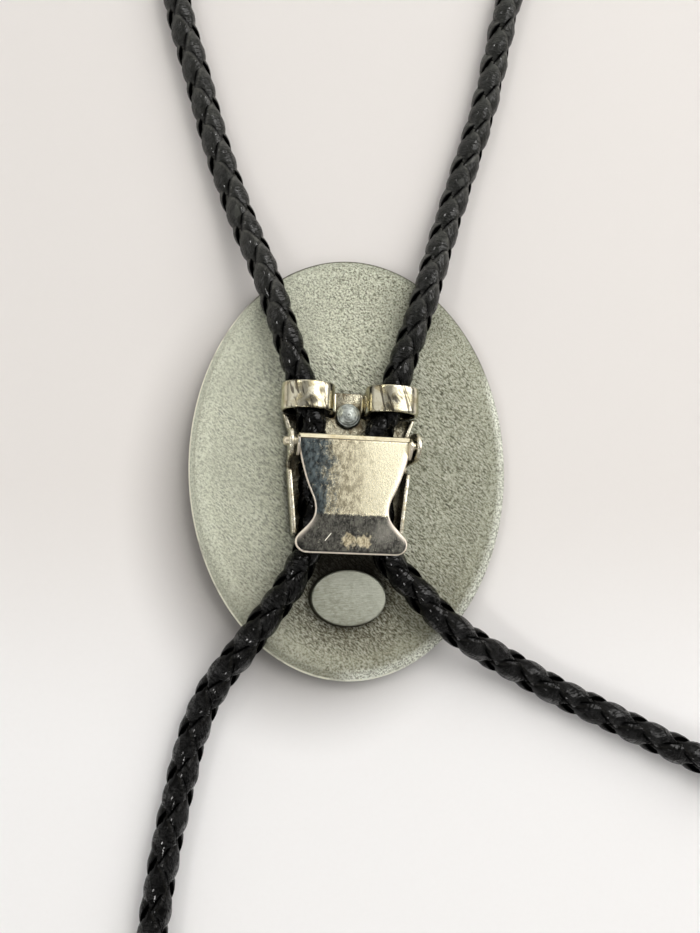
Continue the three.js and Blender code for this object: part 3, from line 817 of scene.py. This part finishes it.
def cord_tip(name, route):
    """A turned metal tip on the end of a cord: a grooved collar and a long taper to a round end."""
    end, before = Vector(route[-1]), Vector(route[-2])
    along = end - before
    level = math.hypot(along.x, along.y)
    along.z = -level * (TIP_RADIUS - TIP_END_RADIUS) / (TIP_LENGTH + TIP_COLLAR)
    along.normalize()
    profile = [(0, 0.0006), (0.0021, 0.0006), (0.0022, 0.0001), (0.00235, 0), (0.0025, 0.0001)]
    profile.append((TIP_RADIUS, 0.0003))
    for groove in TIP_GROOVES:
        radii = (TIP_RADIUS, TIP_GROOVE_RADIUS, TIP_GROOVE_RADIUS, TIP_RADIUS)
        profile += [(radius, groove + 0.0002 * k) for k, radius in enumerate(radii, -1)]
    profile += [(TIP_RADIUS, 0.0037), (0.0025, TIP_COLLAR), (TIP_NECK_RADIUS, 0.0042)]
    for share in np.linspace(0.1, 1, 8):
        height = TIP_COLLAR + share * (TIP_LENGTH - TIP_COLLAR - 0.001)
        profile.append((TIP_NECK_RADIUS + share * (TIP_END_RADIUS - TIP_NECK_RADIUS), height))
    profile += [(0.00138, 0.0165), (0.0011, 0.0168), (0.0006, 0.01698), (0, TIP_LENGTH)]
    turn = Vector((0, 0, 1)).rotation_difference(along).to_matrix().to_4x4()
    place = Matrix.Translation(end + along * TIP_GAP)
    return mesh_object(name, *moved(turned(profile, 56), place @ turn), sharp_angle=35)


# Materials

CREVICE_SAMPLES = 8


class Graph:
    """A material's nodes, made in short calls. A value is a number, a colour or another node's output."""

    def __init__(self, name, **constants):
        self.material = bpy.data.materials.new(name)
        self.material.use_nodes = True
        self.tree = self.material.node_tree
        self.shader = self.tree.nodes["Principled BSDF"]
        for key, value in constants.items():
            self.shader.inputs[key.replace("_", " ")].default_value = value

    def feed(self, socket, value):
        """Link another node's output to a socket, or write a constant on it."""
        if isinstance(value, bpy.types.NodeSocket):
            self.tree.links.new(value, socket)
        else:
            socket.default_value = value

    def add(self, kind, inputs, output=0, **settings):
        """The output of a new node."""
        node = self.tree.nodes.new("ShaderNode" + kind)
        for key, value in settings.items():
            setattr(node, key, value)
        for key, value in inputs.items():
            self.feed(node.inputs[key], value)
        return node.outputs[output]

    def place(self):
        """The point on the piece, in millimetres."""
        spot = self.add("TexCoord", {}, "Object")
        return self.add("VectorMath", {0: spot, "Scale": 1000.0}, operation="SCALE")

    def math(self, operation, first, second=0.0):
        return self.add("Math", {0: first, 1: second}, operation=operation)

    def times(self, first, second):
        return self.math("MULTIPLY", first, second)

    def plus(self, first, second):
        return self.math("ADD", first, second)

    def minus(self, first, second):
        return self.math("SUBTRACT", first, second)

    def split(self, vector):
        node = self.tree.nodes.new("ShaderNodeSeparateXYZ")
        self.feed(node.inputs[0], vector)
        return node.outputs

    def vector(self, operation, first, second):
        return self.add("VectorMath", {0: first, 1: second}, operation=operation)

    def length(self, vector):
        return self.add("VectorMath", {0: vector}, "Value", operation="LENGTH")

    def turned(self, vector, degrees, scale):
        """The vector turned about z, then scaled along each axis."""
        inputs = {"Vector": vector, "Angle": math.radians(degrees)}
        spun = self.add("VectorRotate", inputs, rotation_type="Z_AXIS")
        return self.vector("MULTIPLY", spun, scale)

    def noise(self, vector, scale, detail=2.0, roughness=0.5, distortion=0.0):
        inputs = {"Vector": vector, "Scale": scale, "Detail": detail, "Roughness": roughness}
        return self.add("TexNoise", inputs | {"Distortion": distortion})

    def step(self, value, low, high):
        """0 below low, 1 above high, smooth between; low may be the larger."""
        inputs = {"Value": value, "From Min": low, "From Max": high}
        if low > high:
            inputs = {"Value": value, "From Min": high, "From Max": low, "To Min": 1.0, "To Max": 0.0}
        return self.add("MapRange", inputs, interpolation_type="SMOOTHSTEP")

    def mix(self, share, first, second):
        """The share of the way from the first colour to the second."""
        return self.add("Mix", {0: share, 6: first, 7: second}, 2, data_type="RGBA")

    def blend(self, share, first, second):
        """The share of the way from the first number to the second."""
        return self.add("Mix", {0: share, 2: first, 3: second}, 0, data_type="FLOAT")

    def ramp(self, value, stops):
        """The colour for a value, from stops of (value, colour)."""
        node = self.tree.nodes.new("ShaderNodeValToRGB")
        self.feed(node.inputs[0], value)
        elements = node.color_ramp.elements
        while len(elements) < len(stops):
            elements.new(0.5)
        for element, (position, colour) in zip(elements, stops):
            element.position = position
            element.color = rgba(*colour)
        return node.outputs[0]

    def graded(self, value, low, high, first, second):
        """From the first colour to the second while the value goes from low to high."""
        return self.mix(self.step(value, low, high), rgba(*first), rgba(*second))

    def paint(self, under, colour, mask, share=1.0):
        """The colour over another, as far as the mask and the share let it."""
        return self.mix(self.times(mask, share), under, rgba(*colour))

    def grimy(self, tone, colour, distance, low, high):
        """The tone, but the colour of dirt in grooves narrower than the distance."""
        return self.mix(self.step(self.crevice(distance), low, high), rgba(*colour), tone)

    def crevice(self, distance):
        """1 in the open and 0 deep in a groove."""
        return self.add("AmbientOcclusion", {"Distance": distance}, "AO", samples=CREVICE_SAMPLES)

    def patch(self, vector, centre, size, soft=0.5):
        """1 inside an ellipse of that centre and half size, 0 outside it."""
        offset = self.vector("SUBTRACT", vector, (*centre, 0))
        scaled = self.vector("MULTIPLY", offset, (1 / size[0], 1 / size[1], 0))
        return self.step(self.length(scaled), 1 + soft, 1 - soft)

    def bump(self, height, distance, strength=1.0, normal=None):
        inputs = {"Strength": strength, "Distance": distance, "Height": height}
        if normal is not None:
            inputs["Normal"] = normal
        return self.add("Bump", inputs)

    def finish(self, colour, roughness=None, normal=None, metallic=None):
        """The material, once what is given has gone to the shader."""
        inputs = {"Base Color": colour, "Roughness": roughness, "Normal": normal, "Metallic": metallic}
        for key, value in inputs.items():
            if value is not None:
                self.feed(self.shader.inputs[key], value)
        return self.material


def rgba(r, g, b):
    """A linear colour with an alpha of 1, from the sRGB one, 0 to 255."""
    shares = [v / 255 for v in (r, g, b)]
    return (*(v / 12.92 if v < 0.0404 else ((v + 0.055) / 1.055) ** 2.4 for v in shares), 1)


def braid_material():
    """Glossy black imitation leather: each leaf its own tone, creases towards its lower end, worn edges also
    lightened as a painted highlight, a far grey partly from dusting and partly a painted sheen, painted
    shade in grooves."""
    g = Graph("black_braid")
    strip = g.add("UVMap", {}, uv_map="Strip")
    u, _, _ = g.split(strip)
    within, tint, _ = g.split(g.add("UVMap", {}, uv_map="Leaf"))
    p = g.place()
    _, y, _ = g.split(p)
    creases = g.noise(g.turned(strip, 28, (1.3, 4.6, 1)), 1, 3, 0.62, 0.8)
    where = g.noise(p, 0.5, 1)
    grain = g.noise(p, 4, 3, 0.6)
    # The far stretches lighter grey: partly a dusting, partly a painted sheen.
    dust_and_sheen = g.step(y, 4, 36)
    lower = g.step(within, -0.22, 0.1)
    creased = g.times(lower, g.step(where, 0.3, 0.46))
    creased = g.times(creased, g.blend(dust_and_sheen, 1, 0.75))
    height = g.times(g.step(creases, 0.3, 0.72), creased)
    normal = g.bump(grain, 0.000015, 0.15)
    normal = g.bump(height, 0.0014, 1, normal)
    mottle = g.step(g.noise(p, 0.7, 3, 0.6), 0.3, 0.75)
    clean = g.mix(tint, rgba(3, 3, 3), rgba(9, 9, 8))
    dust_and_sheen_grey = g.mix(g.times(g.plus(mottle, tint), 0.5), rgba(42, 43, 40), rgba(66, 67, 62))
    colour = g.mix(dust_and_sheen, clean, dust_and_sheen_grey)
    off_centre = g.math("ABSOLUTE", u)
    # Worn edges, lightened also as a painted highlight.
    edge = g.times(g.step(off_centre, 1.1, 1.3), g.step(off_centre, 1.5, 1.38))
    worn = g.mix(dust_and_sheen, rgba(34, 33, 29), rgba(100, 99, 92))
    colour = g.mix(g.times(edge, 0.4), colour, worn)
    # Painted shade: the strands' sides nearly black.
    colour = g.mix(g.step(off_centre, 1.48, 1.66), colour, rgba(2, 2, 2))
    # Painted shade: nearly black in the grooves between strands.
    open_air = g.step(g.crevice(0.0014), 0.45, 0.98)
    open_air = g.times(open_air, g.step(off_centre, 1.74, 1.5))
    colour = g.mix(open_air, rgba(2, 2, 2), colour)
    rough = g.blend(dust_and_sheen, 0.15, 0.36)
    rough = g.plus(rough, g.times(mottle, 0.1))
    rough = g.minus(rough, g.times(creased, 0.06))
    shine = g.times(g.blend(dust_and_sheen, 0.12, 0.3), open_air)
    g.feed(g.shader.inputs["Specular IOR Level"], shine)
    ridges = g.times(g.times(creased, open_air), g.step(creases, 0.42, 0.56))
    g.feed(g.shader.inputs["Coat Weight"], ridges)
    g.feed(g.shader.inputs["Coat Roughness"], 0.07)
    return g.finish(colour, rough, normal)


def pewter_material():
    """The cast back: pebbled rim and top, slanting streaks inside, dirt round the boss and in the pits,
    painted light on the left, painted shade on the right, low down and under the lever's lip, a painted
    highlight on the lower left edge with painted shade on the rest of the edge, and painted glints on the
    lower right rim."""
    g = Graph("pewter_back", Metallic=0.6)
    p = g.place()
    x, y, _ = g.split(p)
    to_oval = (2 * MM / MEDALLION_WIDTH, 2 * MM / MEDALLION_LENGTH, 0)
    out = g.length(g.vector("MULTIPLY", p, to_oval))
    band = g.step(out, 0.958, 0.97)
    ridge = g.times(g.step(out, 0.86, 0.93), g.step(out, 0.972, 0.958))
    streak = g.noise(g.turned(p, 42, (1.9, 4.6, 1)), 1, 4, 0.65, 0.5)
    pebble = g.noise(p, 3.6, 4, 0.65, 0.3)
    upper = g.step(y, 12, 24)
    isotropic = g.math("MAXIMUM", g.times(upper, 0.75), g.times(ridge, 0.8))
    isotropic = g.math("MAXIMUM", isotropic, band)
    relief = g.blend(isotropic, streak, pebble)
    height = g.times(relief, g.minus(1, g.times(band, 0.6)))
    normal = g.bump(height, 0.00034, 1)
    stops = [
        (0.34, (40, 39, 28)), (0.42, (134, 135, 114)), (0.49, (202, 204, 182)),
        (0.57, (236, 238, 218)), (0.68, (255, 255, 246)),
    ]
    tone = g.ramp(relief, stops)
    cloud = g.noise(p, 0.14, 2)
    tone = g.paint(tone, (150, 152, 134), g.step(cloud, 0.45, 0.7), 0.25)
    rim = g.graded(pebble, 0.35, 0.62, (126, 128, 110), (196, 200, 182))
    tone = g.mix(g.times(band, 0.8), tone, rim)
    bright = g.times(ridge, g.times(g.step(relief, 0.45, 0.62), 0.5))
    tone = g.mix(bright, tone, rgba(228, 232, 216))
    # Painted light: the left half lighter.
    left = g.times(g.step(x, 6, -19), 0.5)
    tone = g.mix(left, tone, rgba(230, 233, 214))
    # Painted shade: the right half and the lower part darker.
    right = g.times(g.step(x, -2, 18), 0.36)
    tone = g.mix(right, tone, rgba(120, 120, 100))
    low = g.times(g.step(y, -6, -28), 0.42)
    tone = g.mix(low, tone, rgba(122, 116, 92))
    dirt = g.times(g.patch(p, (-0.3, -19.5), (8.5, 7.5)), g.step(relief, 0.62, 0.42))
    tone = g.paint(tone, (70, 60, 38), dirt, 0.8)
    # Painted shadow of the lever's lip and the cords, on the back between the lip and the boss.
    painted_lip_shadow = g.patch(p, (-0.2, -15), (6.6, 4.2), 0.45)
    tone = g.paint(tone, (30, 24, 14), painted_lip_shadow, 0.93)
    # The outer edge: a painted highlight along its lower left, painted shade on the rest of it.
    outline = g.step(out, 0.9885, 0.9935)
    lit = g.step(g.plus(x, g.times(y, 0.5)), 0, -9)
    lit = g.times(lit, g.blend(g.step(g.noise(p, 0.35, 2), 0.3, 0.5), 0.55, 1))
    edge = g.mix(lit, rgba(92, 90, 74), rgba(255, 255, 236))
    # Painted glints in the rim and on the edge, low on the right.
    lower_right = g.step(g.minus(x, g.times(y, 0.5)), 12, 17)
    near_rim = g.times(g.step(out, 0.93, 0.972), lower_right)
    flecks = g.times(near_rim, g.blend(g.step(pebble, 0.44, 0.56), 0.3, 1))
    tone = g.paint(tone, (252, 255, 242), flecks, 0.95)
    edge = g.paint(edge, (252, 255, 242), flecks, 0.9)
    tone = g.mix(outline, tone, edge)
    tone = g.grimy(tone, (38, 36, 27), 0.0016, 0.3, 0.85)
    rough = g.blend(g.step(relief, 0.4, 0.65), 0.62, 0.38)
    return g.finish(tone, rough, normal)


def boss_material():
    """The bare oval: a flat face brushed from side to side, with a painted sheen towards its upper right,
    darker at its foot.
    """
    g = Graph("boss_face", Metallic=0.7)
    p = g.place()
    brushed = g.noise(g.turned(p, -8, (1.1, 7, 1)), 1, 3, 0.6)
    mottle = g.noise(p, 1.4, 3, 0.55)
    tone = g.graded(brushed, 0.25, 0.75, (148, 150, 134), (180, 182, 168))
    tone = g.paint(tone, (128, 128, 110), g.step(mottle, 0.42, 0.7), 0.5)
    x, y, _ = g.split(p)
    # Painted sheen, strongest on the upper right of the face.
    sheen = g.step(g.plus(g.times(x, 0.8), y), -24, -17)
    tone = g.paint(tone, (196, 199, 186), sheen, 0.35)
    _, _, z = g.split(p)
    tone = g.mix(g.step(z, 4.15, 4.5), rgba(66, 64, 52), tone)
    height = g.plus(g.times(brushed, 0.5), g.times(mottle, 0.5))
    return g.finish(tone, g.blend(brushed, 0.34, 0.5), g.bump(height, 0.00006, 0.8))


def tip_material():
    """Old nickel plate: a clear warm shine, tarnish in clouds and specks, dirt in the corners."""
    g = Graph("tip_nickel", Metallic=1)
    p = g.place()
    cloud = g.noise(p, 0.55, 4, 0.6, 0.6)
    speck = g.noise(p, 6, 3, 0.7)
    tone = g.graded(cloud, 0.42, 0.68, (226, 224, 214), (190, 184, 164))
    spots = g.times(g.step(speck, 0.6, 0.7), g.step(cloud, 0.35, 0.6))
    tone = g.paint(tone, (110, 100, 80), spots, 0.5)
    tone = g.grimy(tone, (46, 36, 20), 0.0014, 0.2, 0.75)
    rough = g.plus(0.13, g.times(g.step(cloud, 0.4, 0.75), 0.2))
    height = g.plus(g.times(cloud, 0.7), g.times(speck, 0.12))
    return g.finish(tone, rough, g.bump(height, 0.00012, 0.6))


def base_material():
    """The slide's base: bright on its high upright edges, browner and darker lower down on its plate, with
    dark specks and dirt in the corners.
    """
    g = Graph("nickel_base", Metallic=1)
    p = g.place()
    _, _, z = g.split(p)
    cloud = g.noise(p, 0.9, 4, 0.65, 0.8)
    speck = g.noise(p, 4.5, 4, 0.7)
    tan = g.graded(cloud, 0.4, 0.64, (174, 170, 150), (108, 98, 78))
    tan = g.paint(tan, (50, 42, 30), g.step(speck, 0.52, 0.64), 0.75)
    higher_tone = g.graded(cloud, 0.42, 0.68, (238, 233, 214), (186, 176, 148))
    higher_tone = g.paint(higher_tone, (104, 86, 58), g.step(speck, 0.58, 0.68), 0.6)
    # Lighter higher up, browner and darker lower down.
    tone = g.mix(g.step(z, 4.2, 6.6), tan, higher_tone)
    tone = g.grimy(tone, (34, 26, 14), 0.0014, 0.25, 0.85)
    rough = g.plus(0.22, g.times(g.step(cloud, 0.4, 0.75), 0.2))
    height = g.plus(g.times(cloud, 0.7), g.times(speck, 0.2))
    return g.finish(tone, rough, g.bump(height, 0.00014, 0.7))


def ring_material():
    """The cord rings: clear cream nickel, with painted reflections on each crown: dark streaks and a smoky
    patch.
    """
    g = Graph("nickel_rings", Metallic=1)
    p = g.place()
    x, _, z = g.split(p)
    cloud = g.noise(p, 0.5, 3, 0.6, 0.8)
    tone = g.graded(cloud, 0.4, 0.66, (222, 217, 195), (188, 178, 146))
    # Painted reflections on each crown: dark streaks and a smoky patch.
    crown = g.step(z, 7.2, 8.2)
    streak = g.noise(g.turned(p, -14, (1.9, 0.24, 1)), 1, 3, 0.6, 0.3)
    dark = g.times(crown, g.step(streak, 0.54, 0.6))
    reflection_swirl = g.noise(g.turned(p, -38, (1.1, 0.3, 1)), 1, 4, 0.65, 0.7)
    left = g.patch(g.turned(p, 40, (1, 1, 0)), (-10.1, 2.7), (0.8, 2.1), 0.5)
    right = g.patch(g.turned(p, 40, (1, 1, 0)), (-1, 10.4), (0.8, 2.1), 0.5)
    smoky_reflection = g.times(g.math("MAXIMUM", left, right), g.step(reflection_swirl, 0.38, 0.58))
    tone = g.paint(tone, (64, 54, 42), dark, 0.8)
    tone = g.paint(tone, (44, 42, 40), smoky_reflection, 0.9)
    tone = g.grimy(tone, (46, 36, 20), 0.0012, 0.2, 0.75)
    rough = g.plus(0.14, g.times(g.step(cloud, 0.4, 0.75), 0.14))
    return g.finish(tone, rough, g.bump(cloud, 0.0001, 0.5))


def lever_material():
    """The lever: blue-black at the left, a painted dark reflection worn in specks, clear cream at the right,
    a lip painted darker as a reflection with two worn patches and a scratch, painted highlights on the rims,
    painted shade in the crease, and clean pins."""
    g = Graph("nickel_lever", Metallic=1)
    local = g.add("VectorRotate", {"Vector": g.place(), "Angle": -SLIDE_TURN}, rotation_type="Z_AXIS")
    to_slide = (-SLIDE_PLACE.x / MM, -SLIDE_PLACE.y / MM, 0)
    p = g.vector("ADD", local, to_slide)
    x, y, _ = g.split(p)
    blotch = g.noise(g.turned(p, 4, (0.55, 0.3, 1)), 1, 4, 0.6, 0.5)
    speck = g.noise(p, 5.5, 4, 0.72)
    grain = g.noise(g.turned(p, 6, (4.6, 2.6, 1)), 1, 4, 0.7)
    # Painted dark reflection over the left part, worn through in bright specks, through a speckled middle to
    # the clear cream at the right.
    reach = g.plus(x, g.times(g.minus(blotch, 0.5), 7))
    reach = g.plus(reach, g.times(g.minus(speck, 0.5), 7))
    dark_reflection_side = g.step(reach, -1.6, -4.2)
    middle = g.step(reach, 4.5, -1)
    soft = g.noise(g.turned(p, 6, (1.7, 0.9, 1)), 1, 4, 0.62)
    mixed = g.plus(g.times(grain, 0.45), g.times(soft, 0.55))
    cream = g.graded(speck, 0.45, 0.7, (246, 240, 212), (230, 220, 184))
    speckled = g.graded(mixed, 0.4, 0.6, (150, 142, 118), (226, 218, 190))
    tone = g.mix(middle, cream, speckled)
    dark_reflection_tone = g.graded(soft, 0.36, 0.66, (34, 43, 50), (86, 100, 106))
    dark_reflection_tone = g.paint(dark_reflection_tone, (120, 126, 124), g.step(grain, 0.5, 0.7), 0.35)
    worn = g.times(g.step(g.noise(p, 1.1, 4, 0.7, 0.5), 0.58, 0.66), 0.8)
    dark_reflection_tone = g.mix(worn, dark_reflection_tone, rgba(186, 180, 158))
    tone = g.mix(g.times(dark_reflection_side, 0.95), tone, dark_reflection_tone)
    # The lip painted darker as a reflection, with pale flecks and a lighter spot.
    fall = g.plus(y, g.times(g.minus(speck, 0.5), 1.4))
    on_lip = g.step(fall, -15, -15.45)
    lip_reflection_tone = g.graded(mixed, 0.4, 0.62, (34, 34, 33), (80, 79, 73))
    flecks = g.step(g.noise(p, 6, 2, 0.6), 0.66, 0.74)
    lip_reflection_tone = g.paint(lip_reflection_tone, (190, 184, 164), flecks, 0.6)
    light_spot = g.patch(p, (4.6, -17.8), (1.4, 1.5), 0.6)
    lip_reflection_tone = g.paint(lip_reflection_tone, (128, 126, 118), light_spot, 0.35)
    tone = g.mix(on_lip, tone, lip_reflection_tone)
    ragged = g.add("TexNoise", {"Vector": p, "Scale": 1.4, "Detail": 4.0}, "Color")
    ragged = g.vector("MULTIPLY", g.vector("ADD", ragged, (-0.5, -0.5, 0)), (2.2, 2.2, 2.2))
    spot = g.vector("ADD", p, ragged)
    first = g.patch(spot, (-0.3, -19), (0.95, 0.85), 0.3)
    second = g.patch(spot, (1.75, -19.1), (1, 0.9), 0.3)
    worn_patch = g.times(g.math("MAXIMUM", first, second), g.step(mixed, 0.3, 0.5))
    worn_tone = g.graded(mixed, 0.42, 0.6, (122, 113, 90), (172, 163, 138))
    tone = g.mix(g.times(worn_patch, 0.9), tone, worn_tone)
    line = g.turned(g.vector("ADD", p, (3.25, 18.6, 0)), -52, (1, 1, 0))
    along, off, _ = g.split(line)
    scratch = g.step(g.math("ABSOLUTE", off), 0.07, 0.02)
    scratch = g.times(scratch, g.step(g.math("ABSOLUTE", along), 0.8, 0.6))
    tone = g.mix(scratch, tone, rgba(226, 222, 206))
    nose = g.step(y, -4.5, -4.42)
    tone = g.mix(nose, tone, g.graded(blotch, 0.4, 0.7, (246, 238, 208), (222, 208, 172)))
    # Painted shade along the crease.
    crease = g.step(g.math("ABSOLUTE", g.plus(y, 4.5)), 0.16, 0.05)
    tone = g.paint(tone, (60, 50, 36), crease, 0.85)
    # Painted highlights on the rims, where the sheet's edges face sideways.
    _, _, up = g.split(g.add("TexCoord", {}, "Normal"))
    rim = g.times(g.step(up, 0.985, 0.9), g.step(y, -4.5, -5))
    aside = g.math("ABSOLUTE", g.minus(x, LEVER_MIDDLE))
    pin = g.step(aside, LUG_FACE - 0.04, LUG_FACE + 0.06)
    rim = g.times(rim, g.minus(1, pin))
    tone = g.paint(tone, (255, 243, 226), rim, 0.95)
    tone = g.mix(pin, tone, rgba(232, 222, 196))
    tone = g.grimy(tone, (40, 32, 20), 0.001, 0.15, 0.6)
    rough = g.blend(dark_reflection_side, 0.2, 0.3)
    rough = g.blend(on_lip, rough, 0.36)
    rough = g.blend(rim, rough, 0.3)
    height = g.plus(g.times(grain, 0.6), g.times(speck, 0.4))
    metal = g.minus(1, g.times(rim, 0.45))
    return g.finish(tone, rough, g.bump(height, 0.00005, 0.5), metal)


def rivet_material():
    """Turned steel with a grey film in its grooves."""
    g = Graph("rivet_steel", Metallic=1)
    p = g.place()
    film = g.noise(p, 1.8, 3, 0.6)
    tone = g.graded(film, 0.35, 0.75, (180, 185, 180), (116, 122, 116))
    tone = g.grimy(tone, (30, 30, 28), 0.0009, 0.2, 0.8)
    rough = g.plus(0.24, g.times(film, 0.16))
    return g.finish(tone, rough, g.bump(g.noise(p, 9, 2), 0.00002, 0.5))


def floor_material():
    """A plain pale sweep of paper, a little whiter towards the front, with a painted soft shadow beside the
    medallion.
    """
    g = Graph("floor_paper", Roughness=0.95, Specular_IOR_Level=0.1)
    p = g.place()
    _, y, _ = g.split(p)
    tone = g.graded(y, 0, -45, (234, 230, 227), (250, 249, 249))
    # Painted shadow on the floor by the medallion's left and lower sides.
    shade = g.patch(p, (-5, -5), (23, 30), 0.3)
    tone = g.paint(tone, (140, 136, 133), shade, 0.85)
    fibre = g.noise(p, 1.5, 4, 0.6)
    tone = g.paint(tone, (222, 218, 213), g.step(fibre, 0.3, 0.8), 0.04)
    return g.finish(tone)


# Assembly

make_camera()
make_light()

black = braid_material()
pewter = pewter_material()
boss_face = boss_material()
base_nickel = base_material()
ring_nickel = ring_material()
plate_nickel = lever_material()
steel = rivet_material()
tip_metal = tip_material()

FLOOR_SIZE = 3
bpy.ops.mesh.primitive_plane_add(size=FLOOR_SIZE, location=(0, 0, 0))
floor = bpy.context.object
floor.name = "floor"
floor.data.materials.append(floor_material())

# Route, length of a plait, twist as (share of the length, degrees), share up to which places within a leaf
# run backwards
CORDS = {
    "neck_loop": (
        NECK_LOOP_ROUTE,
        0.0062,
        [(0, 45), (0.2, 45), (0.8, -72), (0.9, -62), (0.97, -45), (1, -45)],
        0.5,
    ),
    "left_end": (LEFT_END_ROUTE, 0.0061, [(0, -50), (1, -60)], 0),
    "right_end": (RIGHT_END_ROUTE, 0.0070, [(0, -45), (1, -36)], 0),
}
TIPS = {"left_end": "left_tip", "right_end": "right_tip"}


def add_piece(piece, body, node, material):
    """Give a piece its material, hang it on its body's empty, and hide the node that it stands in for."""
    piece.data.materials.clear()
    piece.data.materials.append(material)
    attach(piece, body)
    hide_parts(node)
    return piece


for node, (route, pitch, twist, mirrored) in CORDS.items():
    piece, length, path = braid(node + "_braid", route, pitch, twist, mirrored)
    add_piece(piece, "base", node, black)
    if node in TIPS:
        tip = cord_tip(TIPS[node] + "_metal", route)
        add_piece(tip, "base", TIPS[node], tip_metal)

add_piece(medallion_back(), "base", "medallion", pewter)
add_piece(medallion_boss(), "base", "medallion", boss_face)
add_piece(slide_base(), "base", "clip_base", base_nickel)
add_piece(cord_ring("left_ring", -1), "base", "clip_base", ring_nickel)
add_piece(cord_ring("right_ring", 1), "base", "clip_base", ring_nickel)
add_piece(rivet(), "base", "rivet", steel)
add_piece(lever(), "lever", "lever", plate_nickel)
